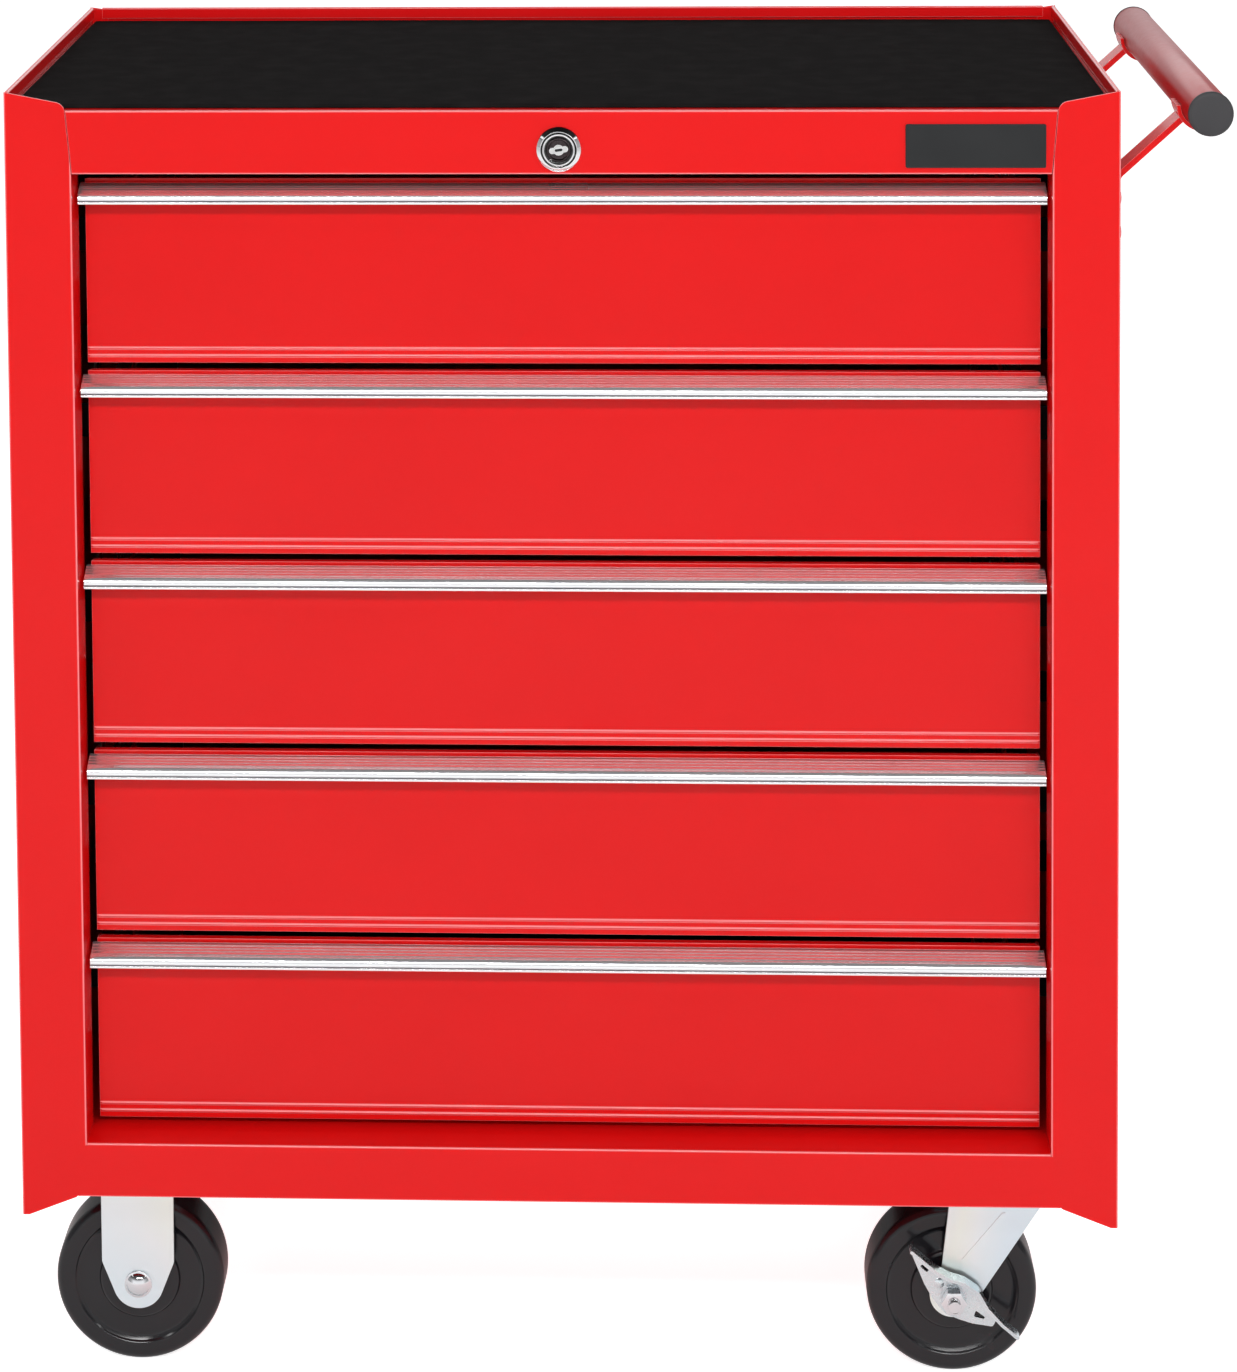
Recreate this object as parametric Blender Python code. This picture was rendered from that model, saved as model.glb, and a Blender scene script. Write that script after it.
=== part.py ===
"""Five-drawer rolling tool cart.

A folded sheet-steel cabinet with five drawers on ball-bearing slides, one key lock that works a
locking bar behind the drawers, a push handle on the right side, two fixed casters on the left and
two swivelling casters with side brakes on the right.

Units are metres, +Z is up and the front faces -Y. The origin lies on the floor in the middle of
the whole cart's footprint, handle included. Every piece hangs from the empty "cabinet_frame",
whose own coordinates are x from the cabinet's centre line, y from its front plane and z from the
floor. Pieces that rest on each other keep a GAP, and shafts keep a running clearance.
"""

import math

import bmesh
import bpy
from mathutils import Matrix, Vector

MM = 0.001

# Cabinet shell
WIDTH = 635 * MM
DEPTH = 330 * MM
SHEET = 1.0 * MM
GAP = 0.3 * MM
INSIDE_HALF = WIDTH / 2 - SHEET - GAP
PANEL_BOTTOM = 111 * MM
PANEL_TOP = 772 * MM
OPENING_HALF = 279.2 * MM
OPENING_BOTTOM = 154 * MM
OPENING_TOP = 724.5 * MM
RETURN_DEPTH = 26 * MM
EAR_HALF = 285 * MM
EAR_TIP = 4 * MM
EAR_TOP = 765.2 * MM
RAIL_BOTTOM = 122 * MM
APRON_TOP = 761.2 * MM
APRON_TOP_HALF = 282 * MM
APRON_RETURN = 21 * MM
SEAM = 0.4 * MM
HEM_THICKNESS = 1.2 * MM
HEM_HEIGHT = 7 * MM
CASTER_FLANGE = 100 * MM
BACK_FLANGE = 12 * MM

# Top mat
MAT_THICKNESS = 2 * MM
MAT_SIDE_MARGIN = 4.5 * MM
MAT_FRONT_MARGIN = 8 * MM
MAT_BACK_MARGIN = 3.5 * MM
MAT_CORNER = 4 * MM

# Drawers
DRAWER_COUNT = 5
DRAWER_PITCH = 112.7 * MM
DRAWER_BOTTOM = 158.3 * MM
DRAWER_HEIGHT = 108 * MM
DRAWER_HALF = 275.2 * MM
DRAWER_FACE = 26 * MM
FACE_RETURN = 13 * MM
BEAD_LOW = 4.2 * MM
BEAD_HIGH = 8.6 * MM
BEAD_PROUD = 0.9 * MM
TRAY_HALF = 262 * MM
TRAY_BACK = 315 * MM
TRAY_RAISE = 3 * MM
TRAY_HEIGHT = 88 * MM
BACK_WALL_HEIGHT = 72 * MM
BACK_CORNER = 20 * MM

# Drawer pulls
PULL_HALF = 277.4 * MM
PULL_PROJECTION = 15 * MM
PULL_TOP_DROP = 1.6 * MM
PULL_DROP = 12.4 * MM
PULL_WALL = 1.5 * MM
PULL_FLANGE = 6 * MM
PULL_CREST = (4 * MM, 1.2 * MM)
PULL_KNEE = (3.5 * MM, 5.2 * MM)
PULL_LIP = 2.2 * MM

# Ball-bearing slides
SLIDE_DROP = 45 * MM
SLIDE_FRONT = 40 * MM
SLIDE_LENGTH = 272 * MM
SLIDE_STEEL = 1.2 * MM
RAIL_HEIGHT = 35 * MM
RAIL_OUTER = 275.4 * MM
RAIL_INNER = 264.6 * MM
RUNNER_HEIGHT = 24 * MM
RUNNER_REACH = 8 * MM
RUNNER_LEAD = 0.5 * MM
BRACKET_INSET = 8 * MM
BRACKET_LENGTH = 24 * MM
BRACKET_HEIGHT = 20 * MM
BRACKET_THICKNESS = 1.5 * MM

# Key lock and locking bar
LOCK_Z = 739 * MM
LOCK_PROUD = 3.5 * MM
BEZEL_RADIUS = 13 * MM
BEZEL_RIM = 2 * MM
BEZEL_CHAMFER = 1.5 * MM
HOUSING_RADIUS = 9.5 * MM
HOUSING_BACK = 22 * MM
PLUG_RADIUS = 7 * MM
KEYWAY_WIDTH = 1.8 * MM
KEYWAY_HEIGHT = 8 * MM
KEYWAY_DEPTH = 12 * MM
CAM_THROW = 10 * MM
CAM_PIN_RADIUS = 2 * MM
BAR_FRONT = 26 * MM
BAR_BACK = 323 * MM
BAR_HALF = 7 * MM
BAR_THICKNESS = 2 * MM
BAR_LOWEST = 170 * MM
HOOK_FRONT = 309 * MM
HOOK_CLEARANCE = 2 * MM
HOOK_DEPTH = 12 * MM
SLOT_HALF_HEIGHT = 4.6 * MM
SLOT_PLATE_HALF = 7.5 * MM

# Push handle
HANDLE_X = 368 * MM
HANDLE_Z = 758.5 * MM
TUBE_RADIUS = 12.5 * MM
TUBE_WALL = 1.5 * MM
CAP_RADIUS = 12.9 * MM
CAP_ROUNDING = 0.8 * MM
CAP_FLANGE = 2.5 * MM
CAP_PLUG = 12 * MM
ARM_INSET = 42 * MM
ARM_WIDTH = 20 * MM
ARM_THICKNESS = 3.5 * MM
ARM_FOOT_LOW = 672 * MM
ARM_FOOT_HIGH = 716 * MM
SADDLE_WIDTH = 24 * MM
SADDLE_WALL = 2.2 * MM
SADDLE_MIDDLE = math.radians(222)
SADDLE_SPREAD = math.radians(80)

# Casters
CASTER_X = 256 * MM
CASTER_INSET = 60 * MM
PLATE_HALF_X = 46 * MM
PLATE_HALF_Y = 33 * MM
PLATE_THICKNESS = 2.5 * MM
PLATE_TOP = RAIL_BOTTOM - GAP
WHEEL_RADIUS = 50 * MM
WHEEL_HALF = 16 * MM
TREAD_ROUND = 4 * MM
RECESS_RADIUS = 38.5 * MM
RECESS = 2 * MM
FACE_STEP = 1.5 * MM
HUB_RADIUS = 23 * MM
HUB_HALF = 15.5 * MM
AXLE_RADIUS = 4 * MM
RUNNING_CLEARANCE = 0.08 * MM
NUT_FLATS = 13 * MM
NUT_HEIGHT = 6 * MM
BOLT_END = 4 * MM
SPACER_RADIUS = 8 * MM
DOME_RADIUS = 7 * MM
DOME_HEIGHT = 4.2 * MM
LEG_INNER = 18.5 * MM
LEG_OUTER = 21 * MM
FIXED_LEG_HALF = 21.5 * MM
FIXED_LEG_SHOULDER = 14 * MM
FIXED_LEG_END = 16 * MM
SWIVEL_TRAIL = 30 * MM
SWIVEL_LEG_END = 13.5 * MM
FORK_LEFT_TOP = -31.5 * MM
FORK_LEFT_LOW = -36.5 * MM
FORK_RIGHT_TOP = 25 * MM
FORK_SHOULDER = 16 * MM
CROWN_TOP = 110.5 * MM
CROWN_THICKNESS = 2.5 * MM
CROWN_CORNER = 10 * MM
RACE_RADIUS = 28 * MM
RACE_GAP = 0.6 * MM
RACE_SLOPE = 5 * MM
RACE_SHOULDER = 2.5 * MM
KINGPIN_RADIUS = 6.2 * MM
KINGPIN_HEAD = 3.5 * MM
KINGPIN_HEAD_RADIUS = 9 * MM
LEVER_INNER = 24 * MM
LEVER_PLATE = 2 * MM
LEVER_REACH = 9 * MM
LEVER_FLANGE = 1.8 * MM
# Outline of the brake lever in (x, z), millimetres from the axle: the crest carries the foot tread
LEVER_CREST = ((-26, 31), (-10.5, 18), (-3, 14), (5.5, 11.5), (13.5, 6), (18.5, -3), (27, -12.5), (37, -21))
LEVER_FOOT = ((32, -19.5), (25, -17), (11, -14.5), (3, -12), (-4.5, -9), (-11.5, -1), (-17, 9), (-21.5, 20))

# Facets of round pieces, steps of the legs' round ends, and the angle above which an edge stays sharp
COARSE = 12
LEG_STEPS = 12
ROUND = 20
FINE = 36
SHARP_DEGREES = 35

# The cart's whole box sets the origin: the handle stands out at the right, the lock at the front.
HANDLE_REACH = HANDLE_X + CAP_RADIUS - WIDTH / 2
CABINET_X = -HANDLE_REACH / 2
CABINET_Y = (LOCK_PROUD - DEPTH) / 2

# Looks: colour, roughness, metallic
RED = ((0.78, 0.020, 0.024), 0.30, 0.0)
CHROME = ((0.85, 0.86, 0.88), 0.12, 1.0)
ZINC = ((0.72, 0.75, 0.78), 0.34, 1.0)
STEEL = ((0.55, 0.56, 0.58), 0.38, 1.0)
WHEEL_BLACK = ((0.030, 0.028, 0.032), 0.38, 0.0)
CAP_BLACK = ((0.065, 0.065, 0.070), 0.50, 0.0)
MAT_BLACK = ((0.016, 0.015, 0.015), 0.75, 0.0)


# ---------------------------------------------------------------- helpers


def clear_scene():
    for obj in list(bpy.data.objects):
        bpy.data.objects.remove(obj, do_unlink=True)


def material(name, look):
    """A Principled material from (colour, roughness, metallic)."""
    colour, roughness, metallic = look
    made = bpy.data.materials.new(name)
    made.use_nodes = True
    shader = made.node_tree.nodes["Principled BSDF"]
    shader.inputs["Base Color"].default_value = (*colour, 1.0)
    shader.inputs["Roughness"].default_value = roughness
    shader.inputs["Metallic"].default_value = metallic
    made.diffuse_color = (*colour, 1.0)
    return made


def box(xs, ys, zs):
    """A closed box between pairs of limits, given in either order."""
    limits = [sorted(pair) for pair in (xs, ys, zs)]
    middle = Vector([(low + high) / 2 for low, high in limits])
    size = [high - low for low, high in limits]
    solid = bmesh.new()
    bmesh.ops.create_cube(solid, size=1.0, matrix=Matrix.Translation(middle) @ Matrix.Diagonal((*size, 1.0)))
    return solid


def on_axis(axis, u, v, along):
    """Cabinet coordinates of a point (u, v) of an outline that is swept or turned about an axis."""
    if axis == "x":
        return (along, u, v)
    if axis == "y":
        return (u, along, v)
    return (u, v, along)


def prism(outline, axis, start, end):
    """An outline swept along an axis: its points are (y, z) for x, (x, z) for y and (x, y) for z."""
    solid = bmesh.new()
    face = solid.faces.new([solid.verts.new(on_axis(axis, u, v, start)) for u, v in outline])
    swept = bmesh.ops.extrude_face_region(solid, geom=[face])
    moved = [item for item in swept["geom"] if isinstance(item, bmesh.types.BMVert)]
    bmesh.ops.translate(solid, verts=moved, vec=on_axis(axis, 0, 0, end - start))
    bmesh.ops.recalc_face_normals(solid, faces=solid.faces)
    return solid


def turned(profile, axis, centre, segments):
    """A closed profile of (radius, along) points turned about an axis through centre (u, v)."""
    solid = bmesh.new()
    rings = []
    for radius, along in profile:
        if radius == 0:
            rings.append([solid.verts.new(on_axis(axis, *centre, along))] * segments)
            continue
        angles = [2 * math.pi * step / segments for step in range(segments)]
        points = [(centre[0] + radius * math.cos(a), centre[1] + radius * math.sin(a)) for a in angles]
        rings.append([solid.verts.new(on_axis(axis, u, v, along)) for u, v in points])
    for index, ring in enumerate(rings):
        following = rings[(index + 1) % len(rings)]
        for step in range(segments):
            after = (step + 1) % segments
            corners = [ring[step], ring[after], following[after], following[step]]
            distinct = list(dict.fromkeys(corners))
            if len(distinct) > 2:
                solid.faces.new(distinct)
    bmesh.ops.recalc_face_normals(solid, faces=solid.faces)
    return solid


def rod(radius, axis, centre, start, end, segments):
    """A plain round bar."""
    return turned([(0, start), (radius, start), (radius, end), (0, end)], axis, centre, segments)


def sheet(path, thickness):
    """The closed outline of a bent strip: the path and a copy moved to its left, with mitred bends."""
    points = [Vector(point) for point in path]
    directions = [(after - before).normalized() for before, after in zip(points, points[1:])]
    moved = []
    for index, point in enumerate(points):
        before = directions[max(index - 1, 0)]
        after = directions[min(index, len(directions) - 1)]
        left = Vector((-before.y - after.y, before.x + after.x)).normalized()
        moved.append(point + left * thickness / left.dot(Vector((-before.y, before.x))))
    return [tuple(point) for point in points + moved[::-1]]


def arc(centre, radius, start, end, steps):
    """Points along an arc, angles in radians."""
    angles = [start + (end - start) * step / steps for step in range(steps + 1)]
    return [(centre[0] + radius * math.cos(a), centre[1] + radius * math.sin(a)) for a in angles]


def rounded_rectangle(low, high, radius, steps):
    """Outline of a rectangle with round corners, anticlockwise."""
    turns = (
        (high[0] - radius, low[1] + radius, -math.pi / 2),
        (high[0] - radius, high[1] - radius, 0.0),
        (low[0] + radius, high[1] - radius, math.pi / 2),
        (low[0] + radius, low[1] + radius, math.pi),
    )
    outline = []
    for x, y, start in turns:
        outline += arc((x, y), radius, start, start + math.pi / 2, steps)
    return outline


def tangent_angle(point, centre, radius, side):
    """Angle at which a line from an outside point touches a circle, on the side given (+1 or -1)."""
    offset = Vector(point) - Vector(centre)
    return math.atan2(offset.y, offset.x) + side * math.acos(radius / offset.length)


def marker(name, point, parent=None):
    """An empty at a point in cabinet coordinates. The pieces that move together hang from one."""
    made = bpy.data.objects.new(name, None)
    made.empty_display_size = 30 * MM
    made["cabinet_point"] = tuple(float(value) for value in point)
    if parent is None:
        made.location = (CABINET_X, CABINET_Y, 0)
    else:
        made.parent = parent
        made.location = Vector(point) - Vector(parent["cabinet_point"])
    bpy.context.scene.collection.objects.link(made)
    return made


def placed(name, solid, origin, parent):
    """An object made from a solid in cabinet coordinates, with its origin at a cabinet point."""
    bmesh.ops.translate(solid, verts=solid.verts, vec=-Vector(origin))
    mesh = bpy.data.meshes.new(name)
    solid.to_mesh(mesh)
    solid.free()
    made = bpy.data.objects.new(name, mesh)
    made.parent = parent
    made.location = Vector(origin) - Vector(parent["cabinet_point"])
    bpy.context.scene.collection.objects.link(made)
    return made


def piece(name, origin, parent, look, base, *steps, smooth=False):
    """One part of the cart: a base solid, then ("join", solid) and ("cut", solid) steps in order."""
    made = placed(name, base, origin, parent)
    made.data.materials.append(look)
    for number, (action, solid) in enumerate(steps):
        helper = placed(f"{name}_{action}_{number}", solid, origin, parent)
        helper.hide_render = True
        helper.display_type = "WIRE"
        modifier = made.modifiers.new(helper.name, "BOOLEAN")
        modifier.operation = "UNION" if action == "join" else "DIFFERENCE"
        modifier.solver = "EXACT"
        modifier.object = helper
    if smooth:
        made.data.shade_smooth()
        made.data.set_sharp_from_angle(angle=math.radians(SHARP_DEGREES))
    return made


# ---------------------------------------------------------------- cabinet shell


def side_panel(name, side, frame, red):
    """Outer panel, eared front flange, the flange's return and the hem along the top edge."""
    half = WIDTH / 2
    flange = [
        (half, PANEL_BOTTOM),
        (half, PANEL_TOP),
        (EAR_HALF, EAR_TOP),
        (APRON_TOP_HALF + SEAM, APRON_TOP),
        (OPENING_HALF, OPENING_TOP),
        (OPENING_HALF, OPENING_BOTTOM),
        (EAR_HALF, RAIL_BOTTOM),
        (half - EAR_TIP, PANEL_BOTTOM),
    ]
    outer = side * half
    inner = side * (half - SHEET)
    web = box((outer, inner), (0, DEPTH), (PANEL_BOTTOM, PANEL_TOP))
    front = prism([(side * x, z) for x, z in flange], "y", 0, SHEET)
    fold = box(
        (side * OPENING_HALF, side * (OPENING_HALF + SHEET)),
        (SHEET / 2, RETURN_DEPTH),
        (OPENING_BOTTOM + GAP, OPENING_TOP - GAP),
    )
    hem = box(
        (side * (half - SHEET / 2), inner - side * HEM_THICKNESS),
        (SHEET / 2, DEPTH - 2 * SHEET - HEM_THICKNESS),
        (PANEL_TOP - HEM_HEIGHT, PANEL_TOP),
    )
    steps = [("join", front), ("join", fold), ("join", hem)]
    return piece(name, (outer, 0, PANEL_BOTTOM), frame, red, web, *steps)


def back_panel(frame, red):
    """Flat back with folded side flanges and a hemmed lip above the top."""
    front = DEPTH - SHEET
    skin = box((-INSIDE_HALF, INSIDE_HALF), (front, DEPTH), (RAIL_BOTTOM, PANEL_TOP))
    hem_half = INSIDE_HALF - HEM_HEIGHT
    hem = box(
        (-hem_half, hem_half),
        (front - HEM_THICKNESS, DEPTH - SHEET / 2),
        (PANEL_TOP - HEM_HEIGHT, PANEL_TOP),
    )
    steps = [("join", hem)]
    for side in (-1, 1):
        flange = box(
            (side * INSIDE_HALF, side * (INSIDE_HALF - SHEET)),
            (front - BACK_FLANGE, DEPTH - SHEET / 2),
            (OPENING_BOTTOM + SHEET, APRON_TOP - 2 * SHEET),
        )
        steps.append(("join", flange))
    return piece("back_panel", (0, DEPTH, RAIL_BOTTOM), frame, red, skin, *steps)


def top_panel(frame, red):
    """Flat top with the front apron that carries the lock."""
    low_half = OPENING_HALF - SEAM
    outline = [
        (-low_half, OPENING_TOP),
        (low_half, OPENING_TOP),
        (APRON_TOP_HALF, APRON_TOP),
        (-APRON_TOP_HALF, APRON_TOP),
    ]
    apron = prism(outline, "y", 0, SHEET)
    back = DEPTH - SHEET - HEM_THICKNESS - GAP
    top = box((-INSIDE_HALF, INSIDE_HALF), (SHEET + GAP, back), (APRON_TOP - SHEET, APRON_TOP))
    bend = box((-low_half, low_half), (SHEET / 2, 3 * SHEET), (APRON_TOP - SHEET, APRON_TOP))
    fold = box((-low_half, low_half), (SHEET / 2, APRON_RETURN), (OPENING_TOP, OPENING_TOP + SHEET))
    hole = rod(HOUSING_RADIUS + GAP, "y", (0, LOCK_Z), -SHEET, 3 * SHEET, ROUND)
    steps = [("join", top), ("join", bend), ("join", fold), ("cut", hole)]
    return piece("top_panel", (0, 0, APRON_TOP), frame, red, apron, *steps)


def bottom_panel(frame, red):
    """Shelf under the drawers, front and back rails, and the flanges that carry the casters."""
    top_half = OPENING_HALF - SEAM
    low_half = EAR_HALF - SEAM
    front = SHEET + GAP
    back = DEPTH - SHEET - GAP
    outline = [
        (-low_half, RAIL_BOTTOM),
        (low_half, RAIL_BOTTOM),
        (top_half, OPENING_BOTTOM),
        (-top_half, OPENING_BOTTOM),
    ]
    rail = prism(outline, "y", 0, SHEET)
    wide = (-INSIDE_HALF, INSIDE_HALF)
    narrow = (-top_half, top_half)
    shelf_level = (OPENING_BOTTOM - SHEET, OPENING_BOTTOM)
    flange_level = (RAIL_BOTTOM, RAIL_BOTTOM + SHEET)
    joined = [
        box(wide, (front, back), shelf_level),
        box(narrow, (SHEET / 2, 3 * SHEET), shelf_level),
        box(wide, (front, CASTER_FLANGE), flange_level),
        box(narrow, (SHEET / 2, 3 * SHEET), flange_level),
        box(wide, (back - SHEET, back), (RAIL_BOTTOM, OPENING_BOTTOM)),
        box(wide, (DEPTH - CASTER_FLANGE, back), flange_level),
    ]
    steps = [("join", solid) for solid in joined]
    return piece("bottom_panel", (0, 0, RAIL_BOTTOM), frame, red, rail, *steps)


def top_mat(frame, black):
    """Non-slip mat that lies on the top, inside the lips."""
    half = WIDTH / 2 - MAT_SIDE_MARGIN
    outline = rounded_rectangle((-half, MAT_FRONT_MARGIN), (half, DEPTH - MAT_BACK_MARGIN), MAT_CORNER, 3)
    base = APRON_TOP + GAP
    mat = prism(outline, "z", base, base + MAT_THICKNESS)
    return piece("top_mat", (0, DEPTH / 2, base), frame, black, mat)


# ---------------------------------------------------------------- drawers and slides


def drawer_floor(index):
    """Height of the lower edge of a drawer front. Drawer 1 is the top one."""
    return DRAWER_BOTTOM + (DRAWER_COUNT - index) * DRAWER_PITCH


def drawer_box(index, drawer, red):
    """Open tray with a folded front: returns on all four edges and a bead near its foot."""
    low = drawer_floor(index)
    high = low + DRAWER_HEIGHT
    back = DRAWER_FACE + FACE_RETURN
    floor = low + TRAY_RAISE
    inner_half = TRAY_HALF - SHEET
    tray_depth = (DRAWER_FACE + SHEET / 2, TRAY_BACK)
    tray = box((-TRAY_HALF, TRAY_HALF), tray_depth, (floor, floor + TRAY_HEIGHT))
    inner_depth = (DRAWER_FACE + SHEET, TRAY_BACK - SHEET)
    hollow = box((-inner_half, inner_half), inner_depth, (floor + SHEET, high))
    notch_half = TRAY_HALF - BACK_CORNER
    notch_depth = (TRAY_BACK - 3 * SHEET, TRAY_BACK + SHEET)
    notch = box((-notch_half, notch_half), notch_depth, (floor + BACK_WALL_HEIGHT, high))
    path = [
        (back, low),
        (DRAWER_FACE, low),
        (DRAWER_FACE, low + BEAD_LOW),
        (DRAWER_FACE - BEAD_PROUD, low + BEAD_LOW + BEAD_PROUD),
        (DRAWER_FACE - BEAD_PROUD, low + BEAD_HIGH - BEAD_PROUD),
        (DRAWER_FACE, low + BEAD_HIGH),
        (DRAWER_FACE, high),
        (back, high),
    ]
    skin = prism(sheet(path[::-1], SHEET), "x", -DRAWER_HALF, DRAWER_HALF)
    steps = [("cut", hollow), ("cut", notch), ("join", skin)]
    for side in (-1, 1):
        side_return = box(
            (side * DRAWER_HALF, side * (DRAWER_HALF - SHEET)),
            (DRAWER_FACE + SHEET / 2, back),
            (low + SHEET / 2, high - SHEET / 2),
        )
        steps.append(("join", side_return))
    return piece(f"drawer_box_{index}", (0, DRAWER_FACE, low), drawer, red, tray, *steps)


def pull_outline(index):
    """Section of the drawer pull: a sloping finger plate that curls down to a lip at its nose."""
    top = drawer_floor(index) + DRAWER_HEIGHT
    face = DRAWER_FACE - BEAD_PROUD - GAP
    nose = DRAWER_FACE - PULL_PROJECTION
    path = [
        (face, top - PULL_TOP_DROP - PULL_FLANGE),
        (face, top - PULL_TOP_DROP),
        (face - PULL_CREST[0], top - PULL_TOP_DROP - PULL_CREST[1]),
        (nose + PULL_KNEE[0], top - PULL_DROP + PULL_KNEE[1]),
        (nose, top - PULL_DROP + PULL_LIP),
        (nose, top - PULL_DROP),
    ]
    return sheet(path, PULL_WALL)


def drawer_pull(index, drawer, chrome):
    """Full-width metal pull along the drawer's top edge."""
    top = drawer_floor(index) + DRAWER_HEIGHT
    solid = prism(pull_outline(index), "x", -PULL_HALF, PULL_HALF)
    return piece(f"drawer_pull_{index}", (0, DRAWER_FACE, top), drawer, chrome, solid)


def channel(web, reach, middle, height, thickness):
    """Section of a channel in (x, z): an upright web at x = web, with flanges that reach sideways."""
    low = middle - height / 2
    high = middle + height / 2
    path = [(web + reach, high), (web, high), (web, low), (web + reach, low)]
    return sheet(path if reach > 0 else path[::-1], thickness)


def slide_rail(name, side, index, frame, steel):
    """Fixed outer member of a slide, open towards the drawer, on two brackets that reach the side panel."""
    middle = drawer_floor(index) + DRAWER_HEIGHT - SLIDE_DROP
    end = SLIDE_FRONT + SLIDE_LENGTH
    section = channel(-RAIL_OUTER, RAIL_OUTER - RAIL_INNER, middle, RAIL_HEIGHT, SLIDE_STEEL)
    section = [(-side * x, z) for x, z in section]
    steps = []
    for start in (SLIDE_FRONT + BRACKET_INSET, end - BRACKET_INSET - BRACKET_LENGTH):
        arm = box(
            (side * (RAIL_OUTER - SLIDE_STEEL / 2), side * INSIDE_HALF),
            (start, start + BRACKET_THICKNESS),
            (middle - BRACKET_HEIGHT / 2, middle + BRACKET_HEIGHT / 2),
        )
        foot = box(
            (side * (INSIDE_HALF - BRACKET_THICKNESS), side * INSIDE_HALF),
            (start + BRACKET_THICKNESS / 2, start + BRACKET_LENGTH),
            (middle - BRACKET_HEIGHT / 2, middle + BRACKET_HEIGHT / 2),
        )
        steps += [("join", arm), ("join", foot)]
    base = prism(section, "y", SLIDE_FRONT, end)
    return piece(name, (side * RAIL_OUTER, SLIDE_FRONT, middle), frame, steel, base, *steps)


def slide_runner(name, side, index, drawer, steel):
    """Inner member of a slide, fixed to the drawer's side and running inside the rail."""
    middle = drawer_floor(index) + DRAWER_HEIGHT - SLIDE_DROP
    web = TRAY_HALF + GAP
    section = channel(web, RUNNER_REACH, middle, RUNNER_HEIGHT, SLIDE_STEEL)
    section = [(side * x, z) for x, z in section]
    base = prism(section, "y", SLIDE_FRONT - RUNNER_LEAD, SLIDE_FRONT + SLIDE_LENGTH - RUNNER_LEAD)
    return piece(name, (side * web, SLIDE_FRONT, middle), drawer, steel, base)


def drawers(frame, red, chrome, steel):
    for index in range(1, DRAWER_COUNT + 1):
        drawer = marker(f"drawer_{index}_slide", (0, DRAWER_FACE, drawer_floor(index)), frame)
        drawer_box(index, drawer, red)
        drawer_pull(index, drawer, chrome)
        for side, word in ((-1, "left"), (1, "right")):
            slide_rail(f"slide_rail_{word}_{index}", side, index, frame, steel)
            slide_runner(f"slide_runner_{word}_{index}", side, index, drawer, steel)


# ---------------------------------------------------------------- lock


def lock_housing(frame, chrome):
    """Bezel and barrel of the cylinder lock, held in the apron."""
    bore = PLUG_RADIUS + RUNNING_CLEARANCE
    profile = [
        (bore, HOUSING_BACK),
        (HOUSING_RADIUS, HOUSING_BACK),
        (HOUSING_RADIUS, -GAP),
        (BEZEL_RADIUS, -GAP),
        (BEZEL_RADIUS, -BEZEL_RIM),
        (BEZEL_RADIUS - BEZEL_CHAMFER, -LOCK_PROUD),
        (bore + BEZEL_CHAMFER, -LOCK_PROUD),
        (bore, -LOCK_PROUD + BEZEL_CHAMFER),
    ]
    solid = turned(profile, "y", (0, LOCK_Z), FINE)
    return piece("lock_housing", (0, 0, LOCK_Z), frame, chrome, solid, smooth=True)


def lock_plug(parent, chrome):
    """Plug with its key slot, the cam behind it and the cam's pin."""
    cam_front = HOUSING_BACK + GAP
    cam_back = cam_front + BAR_THICKNESS
    plug = rod(PLUG_RADIUS, "y", (0, LOCK_Z), -LOCK_PROUD + 2 * GAP, cam_back, FINE)
    keyway = box(
        (-KEYWAY_WIDTH / 2, KEYWAY_WIDTH / 2),
        (-LOCK_PROUD - SHEET, KEYWAY_DEPTH),
        (LOCK_Z - KEYWAY_HEIGHT / 2, LOCK_Z + KEYWAY_HEIGHT / 2),
    )
    cam_end = CAM_THROW + 2 * CAM_PIN_RADIUS
    cam = box((0, cam_end), (cam_front, cam_back), (LOCK_Z - 2 * CAM_PIN_RADIUS, LOCK_Z + 2 * CAM_PIN_RADIUS))
    pin_end = BAR_FRONT + 2 * BAR_THICKNESS
    pin = rod(CAM_PIN_RADIUS, "y", (CAM_THROW, LOCK_Z), cam_front + GAP, pin_end, COARSE)
    steps = [("cut", keyway), ("join", cam), ("join", pin)]
    return piece("lock_plug", (0, 0, LOCK_Z), parent, chrome, plug, *steps)


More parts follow.
